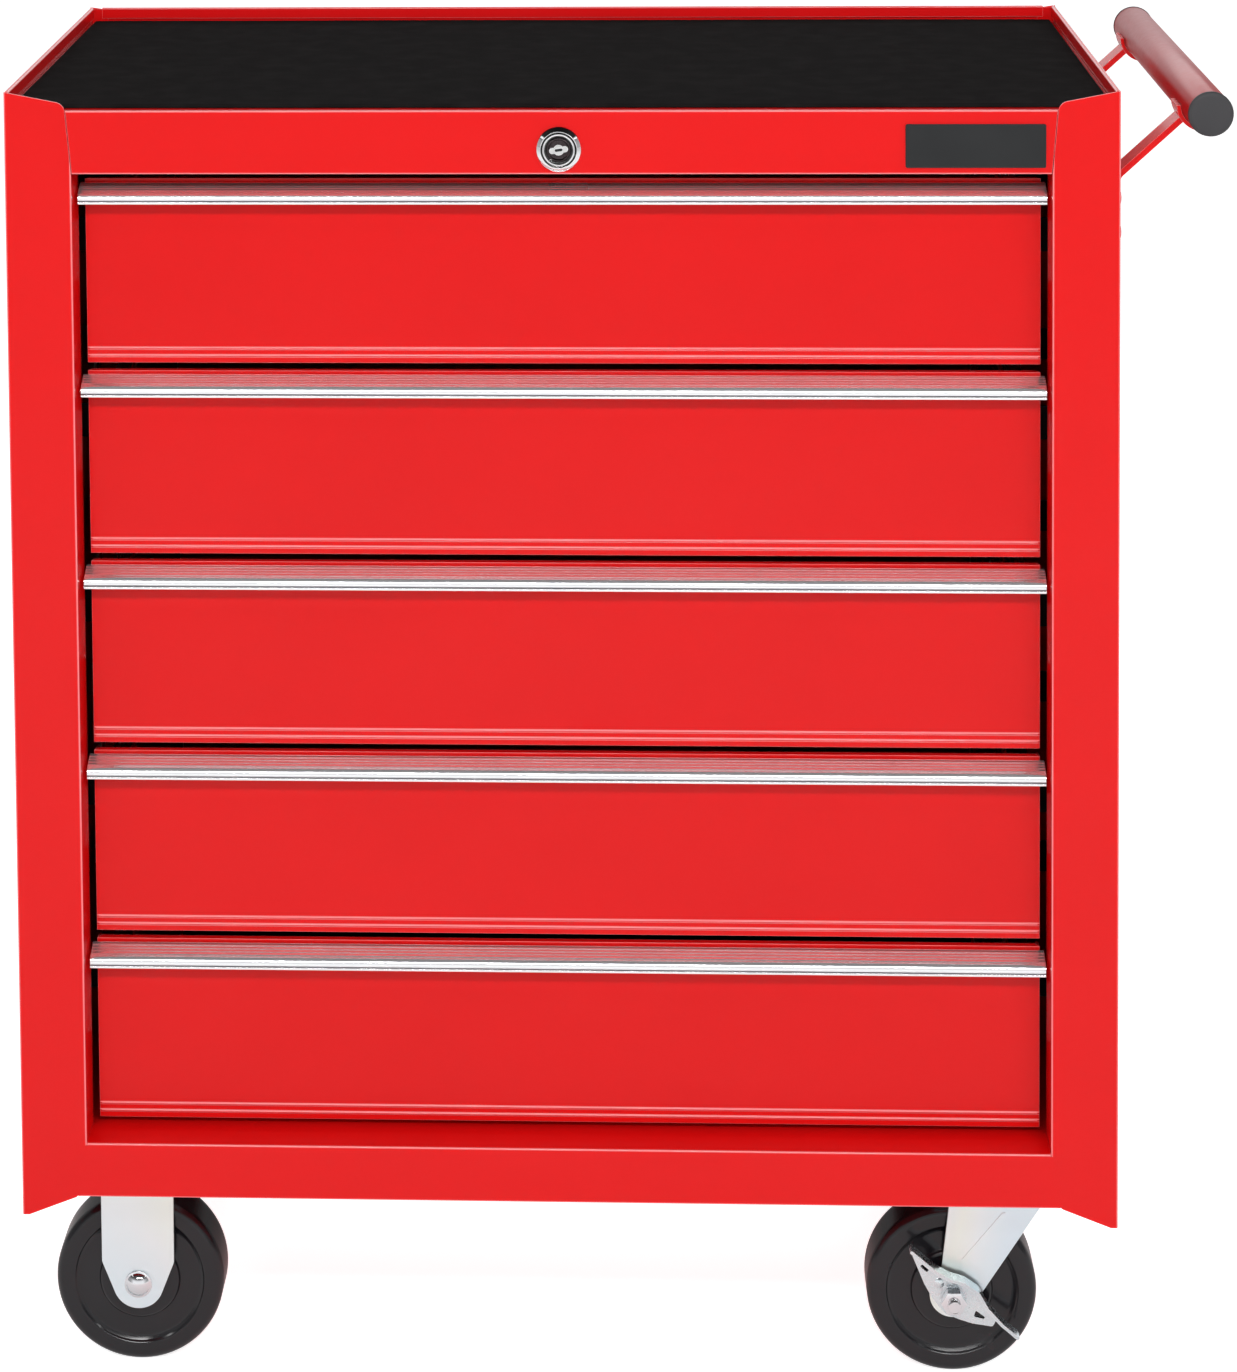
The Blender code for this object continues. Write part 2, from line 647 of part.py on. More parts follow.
def lock_bar(parent, steel):
    """Locking bar: a slotted plate at the cam, an arm under the top and an upright with five hooks."""
    arm_top = LOCK_Z + SLOT_PLATE_HALF
    upright_front = BAR_BACK - BAR_THICKNESS
    outline = [
        (BAR_FRONT, arm_top - BAR_THICKNESS),
        (upright_front, arm_top - BAR_THICKNESS),
    ]
    for index in range(1, DRAWER_COUNT + 1):
        wall_top = drawer_floor(index) + TRAY_RAISE + BACK_WALL_HEIGHT
        tip = wall_top + HOOK_CLEARANCE
        shelf = tip + HOOK_DEPTH
        outline += [
            (upright_front, shelf + BAR_THICKNESS),
            (HOOK_FRONT, shelf + BAR_THICKNESS),
            (HOOK_FRONT, tip),
            (HOOK_FRONT + BAR_THICKNESS, tip),
            (HOOK_FRONT + BAR_THICKNESS, shelf),
            (upright_front, shelf),
        ]
    outline += [
        (upright_front, BAR_LOWEST),
        (BAR_BACK, BAR_LOWEST),
        (BAR_BACK, arm_top),
        (BAR_FRONT, arm_top),
    ]
    bar = prism(outline, "x", -BAR_HALF, BAR_HALF)
    slot_end = CAM_THROW + CAM_PIN_RADIUS + SHEET
    plate = box(
        (-BAR_HALF, slot_end + BAR_THICKNESS + SHEET),
        (BAR_FRONT, BAR_FRONT + BAR_THICKNESS),
        (LOCK_Z - SLOT_PLATE_HALF, arm_top),
    )
    slot = box(
        (-CAM_PIN_RADIUS - SHEET, slot_end),
        (BAR_FRONT - SHEET, BAR_FRONT + 2 * BAR_THICKNESS),
        (LOCK_Z - SLOT_HALF_HEIGHT, LOCK_Z + SLOT_HALF_HEIGHT),
    )
    steps = [("join", plate), ("cut", slot)]
    return piece("lock_bar", (0, BAR_BACK, LOCK_Z), parent, steel, bar, *steps)


def lock(frame, chrome, steel):
    lock_housing(frame, chrome)
    lock_plug(marker("lock_turn", (0, 0, LOCK_Z), frame), chrome)
    lock_bar(marker("lock_bar_slide", (0, BAR_BACK, LOCK_Z), frame), steel)


# ---------------------------------------------------------------- push handle


def handle_tube(frame, red):
    """Round tube parallel to the right side."""
    start = CAP_FLANGE + GAP
    end = DEPTH - start
    bore = TUBE_RADIUS - TUBE_WALL
    profile = [(bore, start), (TUBE_RADIUS, start), (TUBE_RADIUS, end), (bore, end)]
    solid = turned(profile, "y", (HANDLE_X, HANDLE_Z), ROUND)
    return piece("handle_tube", (HANDLE_X, 0, HANDLE_Z), frame, red, solid, smooth=True)


def handle_cap(name, end, inward, frame, black):
    """Plastic end cap: a rim over the tube's end and a plug inside it."""
    plug = TUBE_RADIUS - TUBE_WALL - GAP
    rim = end + inward * CAP_FLANGE
    profile = [
        (0, end),
        (CAP_RADIUS - CAP_ROUNDING, end),
        (CAP_RADIUS, end + inward * CAP_ROUNDING),
        (CAP_RADIUS, rim),
        (plug, rim),
        (plug, end + inward * CAP_PLUG),
        (0, end + inward * CAP_PLUG),
    ]
    solid = turned(profile, "y", (HANDLE_X, HANDLE_Z), ROUND)
    return piece(name, (HANDLE_X, end, HANDLE_Z), frame, black, solid, smooth=True)


def handle_arm(name, middle, frame, red):
    """Bent arm: a foot on the side panel, a slope up to the tube and a saddle round the tube."""
    foot_x = WIDTH / 2 + GAP
    saddle_radius = TUBE_RADIUS + GAP
    centre = Vector((HANDLE_X, HANDLE_Z))
    aim = Vector((math.cos(SADDLE_MIDDLE), math.sin(SADDLE_MIDDLE)))
    top = centre + aim * (saddle_radius + SADDLE_WALL / 2)
    path = [(foot_x + ARM_THICKNESS, ARM_FOOT_LOW), (foot_x + ARM_THICKNESS, ARM_FOOT_HIGH), tuple(top)]
    ys = (middle - ARM_WIDTH / 2, middle + ARM_WIDTH / 2)
    arm = prism(sheet(path, ARM_THICKNESS), "y", *ys)
    start = SADDLE_MIDDLE - SADDLE_SPREAD / 2
    end = SADDLE_MIDDLE + SADDLE_SPREAD / 2
    outer = arc(centre, saddle_radius + SADDLE_WALL, start, end, 8)
    inner = arc(centre, saddle_radius, end, start, 8)
    saddle = prism(outer + inner, "y", middle - SADDLE_WIDTH / 2, middle + SADDLE_WIDTH / 2)
    clearance = rod(saddle_radius, "y", centre, ys[0] - ARM_WIDTH, ys[1] + ARM_WIDTH, ROUND)
    steps = [("join", saddle), ("cut", clearance)]
    return piece(name, (WIDTH / 2, middle, ARM_FOOT_HIGH), frame, red, arm, *steps)


def push_handle(frame, red, black):
    handle_tube(frame, red)
    handle_cap("handle_cap_front", 0, 1, frame, black)
    handle_cap("handle_cap_rear", DEPTH, -1, frame, black)
    handle_arm("handle_arm_front", ARM_INSET, frame, red)
    handle_arm("handle_arm_rear", DEPTH - ARM_INSET, frame, red)


# ---------------------------------------------------------------- casters


def wheel(name, x, y, parent, black):
    """Solid wheel with a rounded tread edge, a recessed ring on each face and a raised hub."""
    bore = AXLE_RADIUS + RUNNING_CLEARANCE
    half = [
        (bore, HUB_HALF),
        (HUB_RADIUS, HUB_HALF),
        (HUB_RADIUS + FACE_STEP, WHEEL_HALF - RECESS),
        (RECESS_RADIUS, WHEEL_HALF - RECESS),
        (RECESS_RADIUS + RECESS, WHEEL_HALF),
    ]
    edge = WHEEL_RADIUS - TREAD_ROUND
    half += arc((edge, WHEEL_HALF - TREAD_ROUND), TREAD_ROUND, math.pi / 2, 0, 2)
    profile = [(r, y + a) for r, a in half] + [(r, y - a) for r, a in reversed(half)]
    solid = turned(profile, "y", (x, WHEEL_RADIUS), FINE)
    return piece(name, (x, y, WHEEL_RADIUS), parent, black, solid, smooth=True)


def leg_pair(outline, y):
    """The two legs of a fork, one on each side of the wheel."""
    return [prism(outline, "y", y + side * LEG_INNER, y + side * LEG_OUTER) for side in (-1, 1)]


def axle_hole(x, y):
    reach = 2 * LEG_OUTER
    return rod(AXLE_RADIUS + GAP, "y", (x, WHEEL_RADIUS), y - reach, y + reach, ROUND)


def fixed_bracket(name, x, y, frame, zinc):
    """Rigid caster bracket: top plate and two straight legs that taper to a round end."""
    plate = box(
        (x - PLATE_HALF_X, x + PLATE_HALF_X),
        (y - PLATE_HALF_Y, y + PLATE_HALF_Y),
        (PLATE_TOP - PLATE_THICKNESS, PLATE_TOP),
    )
    centre = (x, WHEEL_RADIUS)
    shoulder = WHEEL_RADIUS + FIXED_LEG_SHOULDER
    right = (x + FIXED_LEG_HALF, shoulder)
    left = (x - FIXED_LEG_HALF, shoulder)
    start = tangent_angle(left, centre, FIXED_LEG_END, 1)
    end = tangent_angle(right, centre, FIXED_LEG_END, -1)
    leg_top = PLATE_TOP - PLATE_THICKNESS / 2
    outline = [right, (right[0], leg_top), (left[0], leg_top), left]
    outline += arc(centre, FIXED_LEG_END, start, end + 2 * math.pi, LEG_STEPS)
    steps = [("join", leg) for leg in leg_pair(outline, y)] + [("cut", axle_hole(x, y))]
    return piece(name, (x, y, PLATE_TOP), frame, zinc, plate, *steps)


def hex_nut(x, start, end):
    """A hexagon nut or bolt head on a wheel axle."""
    outline = arc((x, WHEEL_RADIUS), NUT_FLATS / math.sqrt(3), 0, 2 * math.pi * 5 / 6, 5)
    return prism(outline, "y", start, end)


def fixed_axle(name, x, y, outward, frame, zinc):
    """Axle bolt of a rigid caster: domed head outside, nut inside."""
    head = LEG_OUTER + GAP
    nut_end = head + NUT_HEIGHT
    profile = [
        (0, y - outward * (nut_end + BOLT_END)),
        (AXLE_RADIUS, y - outward * (nut_end + BOLT_END)),
        (AXLE_RADIUS, y + outward * head),
        (DOME_RADIUS, y + outward * head),
        (DOME_RADIUS - SHEET, y + outward * (head + 2 * SHEET)),
        (DOME_RADIUS / 2, y + outward * (head + DOME_HEIGHT - SHEET / 2)),
        (0, y + outward * (head + DOME_HEIGHT)),
    ]
    bolt = turned(profile, "y", (x, WHEEL_RADIUS), ROUND)
    nut = hex_nut(x, y - outward * head, y - outward * nut_end)
    return piece(name, (x, y, WHEEL_RADIUS), frame, zinc, bolt, ("join", nut), smooth=True)


def swivel_plate(name, x, y, frame, zinc):
    """Top plate of a swivel caster with its upper ball race and the kingpin."""
    plate = box(
        (x - PLATE_HALF_X, x + PLATE_HALF_X),
        (y - PLATE_HALF_Y, y + PLATE_HALF_Y),
        (PLATE_TOP - PLATE_THICKNESS, PLATE_TOP),
    )
    crown_bottom = CROWN_TOP - CROWN_THICKNESS
    race_bottom = CROWN_TOP + RACE_GAP
    profile = [
        (0, crown_bottom - KINGPIN_HEAD),
        (KINGPIN_HEAD_RADIUS - SHEET, crown_bottom - KINGPIN_HEAD),
        (KINGPIN_HEAD_RADIUS, crown_bottom - KINGPIN_HEAD + SHEET),
        (KINGPIN_HEAD_RADIUS, crown_bottom - GAP),
        (KINGPIN_RADIUS, crown_bottom - GAP),
        (KINGPIN_RADIUS, race_bottom),
        (RACE_RADIUS - RACE_SLOPE, race_bottom),
        (RACE_RADIUS - RACE_GAP, race_bottom + RACE_SHOULDER),
        (RACE_RADIUS, PLATE_TOP - PLATE_THICKNESS / 2),
        (0, PLATE_TOP - PLATE_THICKNESS / 2),
    ]
    race = turned(profile, "z", (x, y), ROUND)
    return piece(name, (x, y, PLATE_TOP), frame, zinc, plate, ("join", race))


def swivel_fork(name, x, y, parent, zinc):
    """Swivelling fork: a crown under the ball race and two raked legs down to the axle."""
    centre = (x - SWIVEL_TRAIL, WHEEL_RADIUS)
    left_top = (x + FORK_LEFT_TOP, CROWN_TOP - CROWN_THICKNESS / 2)
    left_low = (x + FORK_LEFT_LOW, WHEEL_RADIUS + FORK_SHOULDER)
    right_top = (x + FORK_RIGHT_TOP, CROWN_TOP - CROWN_THICKNESS / 2)
    start = tangent_angle(left_low, centre, SWIVEL_LEG_END, 1)
    end = tangent_angle(right_top, centre, SWIVEL_LEG_END, -1)
    outline = [right_top, left_top, left_low]
    outline += arc(centre, SWIVEL_LEG_END, start, end + 2 * math.pi, LEG_STEPS)
    crown_outline = rounded_rectangle(
        (x + FORK_LEFT_TOP, y - LEG_OUTER),
        (x + FORK_RIGHT_TOP, y + LEG_OUTER),
        CROWN_CORNER,
        4,
    )
    crown = prism(crown_outline, "z", CROWN_TOP - CROWN_THICKNESS, CROWN_TOP)
    pin_hole = rod(KINGPIN_RADIUS + GAP, "z", (x, y), WHEEL_RADIUS, PLATE_TOP, ROUND)
    steps = [("join", leg) for leg in leg_pair(outline, y)]
    steps += [("cut", axle_hole(centre[0], y)), ("cut", pin_hole)]
    return piece(name, (x, y, CROWN_TOP), parent, zinc, crown, *steps)


def swivel_axle(name, x, y, outward, parent, zinc):
    """Axle bolt of a swivel caster, long enough outside the leg to carry the brake lever."""
    inner = LEG_OUTER + GAP
    spacer_end = LEVER_INNER - GAP
    nut_start = LEVER_INNER + LEVER_PLATE + GAP
    nut_end = nut_start + NUT_HEIGHT
    bolt_end = nut_end + BOLT_END
    profile = [
        (0, y - outward * (inner + NUT_HEIGHT)),
        (AXLE_RADIUS, y - outward * (inner + NUT_HEIGHT)),
        (AXLE_RADIUS, y + outward * inner),
        (SPACER_RADIUS, y + outward * inner),
        (SPACER_RADIUS, y + outward * spacer_end),
        (AXLE_RADIUS, y + outward * spacer_end),
        (AXLE_RADIUS, y + outward * (bolt_end - SHEET)),
        (AXLE_RADIUS - SHEET, y + outward * bolt_end),
        (0, y + outward * bolt_end),
    ]
    bolt = turned(profile, "y", (x, WHEEL_RADIUS), ROUND)
    head = hex_nut(x, y - outward * (inner + NUT_HEIGHT + GAP), y - outward * inner)
    nut = hex_nut(x, y + outward * nut_start, y + outward * nut_end)
    return piece(name, (x, y, WHEEL_RADIUS), parent, zinc, bolt, ("join", head), ("join", nut), smooth=True)


def from_axle(points, x):
    """Points given in millimetres from the axle, in cabinet coordinates."""
    return [(x + dx * MM, WHEEL_RADIUS + dz * MM) for dx, dz in points]


def brake_lever(name, x, y, outward, parent, zinc):
    """Side brake lever: a plate on the axle outside the fork with a foot tread along its upper edge."""
    crest = from_axle(LEVER_CREST, x)
    start = y + outward * LEVER_INNER
    plate = prism(crest + from_axle(LEVER_FOOT, x), "y", start, start + outward * LEVER_PLATE)
    tread = prism(sheet(crest, LEVER_FLANGE), "y", start, start + outward * LEVER_REACH)
    reach = outward * 2 * LEVER_REACH
    bore = AXLE_RADIUS + RUNNING_CLEARANCE
    hole = rod(bore, "y", (x, WHEEL_RADIUS), start - reach, start + reach, ROUND)
    return piece(name, (x, y, WHEEL_RADIUS), parent, zinc, plate, ("join", tread), ("cut", hole))


def casters(frame, zinc, black):
    for word, y, outward in (("front", CASTER_INSET, -1), ("rear", DEPTH - CASTER_INSET, 1)):
        left = -CASTER_X
        fixed_bracket(f"fixed_caster_bracket_{word}", left, y, frame, zinc)
        fixed_axle(f"fixed_caster_axle_{word}", left, y, outward, frame, zinc)
        spin = marker(f"wheel_fixed_{word}_spin", (left, y, WHEEL_RADIUS), frame)
        wheel(f"wheel_fixed_{word}", left, y, spin, black)
        swivel_plate(f"swivel_plate_{word}", CASTER_X, y, frame, zinc)
        turntable = marker(f"swivel_{word}_turn", (CASTER_X, y, CROWN_TOP), frame)
        swivel_fork(f"swivel_fork_{word}", CASTER_X, y, turntable, zinc)
        axle_x = CASTER_X - SWIVEL_TRAIL
        swivel_axle(f"swivel_axle_{word}", axle_x, y, outward, turntable, zinc)
        hub = (axle_x, y, WHEEL_RADIUS)
        spin = marker(f"wheel_swivel_{word}_spin", hub, turntable)
        wheel(f"wheel_swivel_{word}", axle_x, y, spin, black)
        pedal = marker(f"brake_{word}_press", hub, turntable)
        brake_lever(f"brake_lever_{word}", axle_x, y, outward, pedal, zinc)


# ---------------------------------------------------------------- the cart


def build():
    clear_scene()
    red = material("red_paint", RED)
    chrome = material("chrome", CHROME)
    zinc = material("zinc_plate", ZINC)
    steel = material("slide_steel", STEEL)
    wheel_black = material("wheel_black", WHEEL_BLACK)
    cap_black = material("cap_black", CAP_BLACK)
    mat_black = material("mat_black", MAT_BLACK)
    frame = marker("cabinet_frame", (0, 0, 0))
    side_panel("side_panel_left", -1, frame, red)
    side_panel("side_panel_right", 1, frame, red)
    back_panel(frame, red)
    top_panel(frame, red)
    bottom_panel(frame, red)
    top_mat(frame, mat_black)
    drawers(frame, red, chrome, steel)
    lock(frame, chrome, steel)
    push_handle(frame, red, cap_black)
    casters(frame, zinc, wheel_black)


build()
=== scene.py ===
"""Looks of the five-drawer rolling tool cart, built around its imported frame.

Units are metres, +Z is up and the front faces -Y. New pieces are modelled in cabinet coordinates:
x from the cabinet's centre line, y from its front plane and z from the floor. Every object's origin
lies at that point, so object texture coordinates are cabinet coordinates too.
"""

import math

import bmesh
import bpy
from mathutils import Matrix, Vector


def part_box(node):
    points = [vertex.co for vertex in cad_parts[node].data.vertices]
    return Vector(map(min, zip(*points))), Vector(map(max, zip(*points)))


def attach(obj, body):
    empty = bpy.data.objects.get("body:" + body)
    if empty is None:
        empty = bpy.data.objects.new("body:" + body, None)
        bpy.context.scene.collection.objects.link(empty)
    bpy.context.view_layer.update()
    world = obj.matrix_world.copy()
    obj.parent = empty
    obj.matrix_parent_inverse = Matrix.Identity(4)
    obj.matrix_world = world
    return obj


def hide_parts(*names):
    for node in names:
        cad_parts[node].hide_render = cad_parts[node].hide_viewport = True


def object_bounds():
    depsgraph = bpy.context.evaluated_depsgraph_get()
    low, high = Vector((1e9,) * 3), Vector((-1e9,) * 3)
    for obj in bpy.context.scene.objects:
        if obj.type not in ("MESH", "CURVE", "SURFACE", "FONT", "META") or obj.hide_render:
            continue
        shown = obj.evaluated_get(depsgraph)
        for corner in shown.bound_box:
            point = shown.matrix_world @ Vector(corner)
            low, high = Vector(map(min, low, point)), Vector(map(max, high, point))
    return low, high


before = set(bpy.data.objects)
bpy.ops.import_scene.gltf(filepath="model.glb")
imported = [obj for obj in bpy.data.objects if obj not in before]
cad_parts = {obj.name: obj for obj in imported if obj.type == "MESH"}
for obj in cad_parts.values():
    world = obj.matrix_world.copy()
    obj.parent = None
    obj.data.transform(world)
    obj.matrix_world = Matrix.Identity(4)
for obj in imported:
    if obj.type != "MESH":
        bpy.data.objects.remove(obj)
CAD_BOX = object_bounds()

MM = 0.001

# ---------------------------------------------------------------- places taken from the frame


def cabinet_origin():
    left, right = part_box("side_panel_left"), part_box("side_panel_right")
    return Vector(((left[0].x + right[1].x) / 2, left[0].y, 0))


ORIGIN = cabinet_origin()


def place(node):
    """Lowest and highest corner of a CAD node in cabinet coordinates."""
    low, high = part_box(node)
    return low - ORIGIN, high - ORIGIN


PANEL_LOW, PANEL_HIGH = place("side_panel_right")
OPENING_HALF, HALF_WIDTH = PANEL_LOW.x, PANEL_HIGH.x
PANEL_BOTTOM, PANEL_TOP = PANEL_LOW.z, PANEL_HIGH.z
DEPTH = PANEL_HIGH.y
TOP_LOW, TOP_HIGH = place("top_panel")
OPENING_TOP, APRON_TOP = TOP_LOW.z, TOP_HIGH.z
INSIDE_HALF = TOP_HIGH.x
BASE_LOW, BASE_HIGH = place("bottom_panel")
RAIL_BOTTOM, OPENING_BOTTOM = BASE_LOW.z, BASE_HIGH.z
LOCK_LEVEL = (place("lock_housing")[0].z + place("lock_housing")[1].z) / 2
LOCK_HOLE = 9.8 * MM
DRAWERS = range(1, 6)
SIDES = (("left", -1), ("right", 1))

# Sheet steel
SHEET = 1.0 * MM
FOLD_RADIUS = 1.0 * MM
EDGE_ROUNDING = 0.25 * MM
SEAM = 0.4 * MM
EAR_HALF = 285 * MM
EAR_TOP = 765.2 * MM
EAR_TIP = 4 * MM
EAR_ROUNDING = 6 * MM
APRON_TOP_HALF = 282 * MM
APRON_FLARE = (APRON_TOP_HALF + SEAM - OPENING_HALF) / (APRON_TOP - OPENING_TOP)
RETURN_DEPTH = 26 * MM
APRON_RETURN = 21 * MM
HEM_WIDTH = 2.8 * MM
HEM_HEIGHT = 7 * MM

# Face attribute of sheet-metal bends, where the paint is thinner and a highlight line is painted in
FOLD_MARK = "fold"

# Panels that meet at a smaller angle than this get no bend
LEAST_FOLD = math.radians(20)


# ---------------------------------------------------------------- shape helpers


def mm(points):
    """2-D points given in millimetres."""
    return [(u * MM, v * MM) for u, v in points]


def rectangle(left, low, right, high):
    return [(left, low), (right, low), (right, high), (left, high)]


def rounded(points, radius, steps=4, closed=True):
    """A 2-D outline or path whose corners are arcs; the radius is one value or one for each point."""
    points = [Vector(point) for point in points]
    count = len(points)
    radii = radius if isinstance(radius, list) else [radius] * count
    made = []
    for index, point in enumerate(points):
        if not closed and index in (0, count - 1):
            made.append(tuple(point))
            continue
        to_last = points[index - 1] - point
        to_next = points[(index + 1) % count] - point
        a, b = to_last.normalized(), to_next.normalized()
        half = math.acos(max(-1.0, min(1.0, a.dot(b)))) / 2
        if radii[index] <= 0 or half > math.radians(88) or half < math.radians(2):
            made.append(tuple(point))
            continue
        reach = min(radii[index] / math.tan(half), 0.49 * to_last.length, 0.49 * to_next.length)
        bend = reach * math.tan(half)
        centre = point + (a + b).normalized() * (bend / math.sin(half))
        start, end = point + a * reach - centre, point + b * reach - centre
        turn = math.atan2(start.x * end.y - start.y * end.x, start.dot(end))
        for step in range(steps + 1):
            cos, sin = math.cos(turn * step / steps), math.sin(turn * step / steps)
            made.append((centre.x + start.x * cos - start.y * sin, centre.y + start.x * sin + start.y * cos))
    return made


def arc(centre, radius, start, end, steps):
    """Points along an arc, angles in radians."""
    angles = [start + (end - start) * step / steps for step in range(steps + 1)]
    return [(centre[0] + radius * math.cos(a), centre[1] + radius * math.sin(a)) for a in angles]


def on_axis(axis, u, v, along):
    """A point (u, v) of an outline that is swept or turned about an axis."""
    return {"x": (along, u, v), "y": (u, along, v), "z": (u, v, along)}[axis]


def flat_panel(points, axis, level):
    """A panel's 3-D corners from an outline that lies at a level of one axis."""
    return [on_axis(axis, u, v, level) for u, v in points]


def prism(outline, axis, start, end):
    """An outline swept along an axis: its points are (y, z) for x, (x, z) for y and (x, y) for z."""
    solid = bmesh.new()
    face = solid.faces.new([solid.verts.new(point) for point in flat_panel(outline, axis, start)])
    swept = bmesh.ops.extrude_face_region(solid, geom=[face])
    moved = [item for item in swept["geom"] if isinstance(item, bmesh.types.BMVert)]
    bmesh.ops.translate(solid, verts=moved, vec=on_axis(axis, 0, 0, end - start))
    bmesh.ops.recalc_face_normals(solid, faces=solid.faces)
    return solid


def turned(profile, axis, centre, segments=64):
    """A closed profile of (radius, along) points turned about an axis through centre (u, v)."""
    solid = bmesh.new()
    rings = []
    for radius, along in profile:
        if radius == 0:
            rings.append([solid.verts.new(on_axis(axis, *centre, along))] * segments)
            continue
        points = arc(centre, radius, 0, 2 * math.pi, segments)[:-1]
        rings.append([solid.verts.new(point) for point in flat_panel(points, axis, along)])
    for ring, following in zip(rings, rings[1:] + rings[:1]):
        for step in range(segments):
            after = (step + 1) % segments
            corners = list(dict.fromkeys([ring[step], ring[after], following[after], following[step]]))
            if len(corners) > 2:
                solid.faces.new(corners)
    bmesh.ops.recalc_face_normals(solid, faces=solid.faces)
    return solid


def round_bar(radius, axis, centre, start, end, segments=32):
    return turned([(0, start), (radius, start), (radius, end), (0, end)], axis, centre, segments)


def sheet(path, thickness):
    """The closed outline of a bent strip: the path and a copy moved to its left, with mitred bends."""
    points = [Vector(point) for point in path]
    directions = [(after - before).normalized() for before, after in zip(points, points[1:])]
    moved = []
    for index, point in enumerate(points):
        before = directions[max(index - 1, 0)]
        after = directions[min(index, len(directions) - 1)]
        left = Vector((-before.y - after.y, before.x + after.x)).normalized()
        moved.append(point + left * thickness / left.dot(Vector((-before.y, before.x))))
    return [tuple(point) for point in points + moved[::-1]]


def surface(panels, fold_radius=FOLD_RADIUS, steps=4):
    """Sheet surface from flat panels, lists of 3-D corners, whose shared edges become round bends."""
    skin = bmesh.new()
    known = {}

    def corner(point):
        key = tuple(round(value, 7) for value in point)
        if key not in known:
            known[key] = skin.verts.new(key)
        return known[key]

    for panel in panels:
        skin.faces.new([corner(point) for point in panel])
    bmesh.ops.recalc_face_normals(skin, faces=skin.faces)
    shared = [edge for edge in skin.edges if len(edge.link_faces) == 2]
    folds = [edge for edge in shared if edge.calc_face_angle() > LEAST_FOLD]
    mark = skin.faces.layers.float.new(FOLD_MARK)
    bent = bmesh.ops.bevel(
        skin, geom=folds, offset=fold_radius, offset_type="OFFSET",
        segments=steps, profile=0.5, affect="EDGES", clamp_overlap=True,
    )
    # The middle of each bend gets the full mark, so that the painted highlight is a thin line
    for face in bent["faces"]:
        flatness = max(abs(value) for value in face.normal)
        face[mark] = 1.0 if flatness < 0.92 else 0.45
    return skin


def united(*solids):
    """All solids in one mesh, as separate closed shells."""
    whole = bmesh.new()
    for solid in solids:
        mesh = bpy.data.meshes.new("part")
        solid.to_mesh(mesh)
        solid.free()
        whole.from_mesh(mesh)
        bpy.data.meshes.remove(mesh)
    return whole


def new_object(name, solid):
    """Turns a solid into a mesh object of the scene."""
    mesh = bpy.data.meshes.new(name)
    solid.to_mesh(mesh)
    solid.free()
    made = bpy.data.objects.new(name, mesh)
    bpy.context.scene.collection.objects.link(made)
    return made


JOIN, CUT = "UNION", "DIFFERENCE"


def combined(base, *steps):
    """Boolean result of a base solid and (JOIN or CUT, solid) steps."""
    solids = [base] + [solid for _, solid in steps]
    helpers = [new_object(f"helper_{number}", solid) for number, solid in enumerate(solids)]
    for (action, _), helper in zip(steps, helpers[1:]):
        modifier = helpers[0].modifiers.new(helper.name, "BOOLEAN")
        modifier.operation = action
        modifier.solver = "EXACT"
        modifier.object = helper
    evaluated = helpers[0].evaluated_get(bpy.context.evaluated_depsgraph_get())
    mesh = bpy.data.meshes.new_from_object(evaluated)
    result = bmesh.new()
    result.from_mesh(mesh)
    bpy.data.meshes.remove(mesh)
    for helper in helpers:
        data = helper.data
        bpy.data.objects.remove(helper)
        bpy.data.meshes.remove(data)
    bmesh.ops.remove_doubles(result, verts=result.verts, dist=0.002 * MM)
    return result


def piece(name, solid, look, body, stands_for=None, thickness=0.0, bevel=0.0, sharp=38):
    """Adds a piece of the cart: a mesh in cabinet coordinates that rides on a body."""
    made = new_object(name, solid)
    made.location = ORIGIN
    made.data.materials.append(look)
    made.data.shade_smooth()
    made.data.set_sharp_from_angle(angle=math.radians(sharp))
    if thickness:
        solidify = made.modifiers.new("sheet_thickness", "SOLIDIFY")
        solidify.thickness = abs(thickness)
        solidify.offset = -1 if thickness > 0 else 1
        solidify.use_even_offset = True
    if bevel:
        edges = made.modifiers.new("rounded_edges", "BEVEL")
        edges.width = bevel
        edges.segments = 2
        edges.limit_method = "ANGLE"
        edges.angle_limit = math.radians(sharp)
        edges.harden_normals = True
    if thickness:
        normals = made.modifiers.new("flats_stay_flat", "WEIGHTED_NORMAL")
        normals.keep_sharp = True
    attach(made, body)
    if stands_for:
        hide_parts(stands_for)


def shell(name, panels, inside, look, body, stands_for=None, fold_radius=FOLD_RADIUS, marks=None):
    """Adds a painted sheet-metal piece, thickened towards a point inside it."""
    skin = surface(panels, fold_radius)
    if marks:
        marks(skin)
    face = max(skin.faces, key=lambda item: item.calc_area())
    outward = face.normal.dot(face.calc_center_median() - Vector(inside)) > 0
    thickness = SHEET if outward else -SHEET
    piece(name, skin, look, body, stands_for, thickness, EDGE_ROUNDING)


# ---------------------------------------------------------------- materials


def feed(tree, socket, value):
    """Links an input to an output, or sets it to a value."""
    if isinstance(value, bpy.types.NodeSocket):
        tree.links.new(value, socket)
    elif socket.type == "RGBA":
        socket.default_value = (*value, 1.0)
    else:
        socket.default_value = value


def fill(tree, node, **named):
    """Feeds inputs by their names, with _ for each space."""
    for name, value in named.items():
        feed(tree, node.inputs[name.replace("_", " ")], value)


def add(tree, kind, *values, operation=None, **named):
    """A new node: the values feed its inputs in their order, the named ones by name."""
    node = tree.nodes.new("ShaderNode" + kind)
    if operation:
        node.operation = operation
    for socket, value in zip(node.inputs, values):
        feed(tree, socket, value)
    fill(tree, node, **named)
    return node


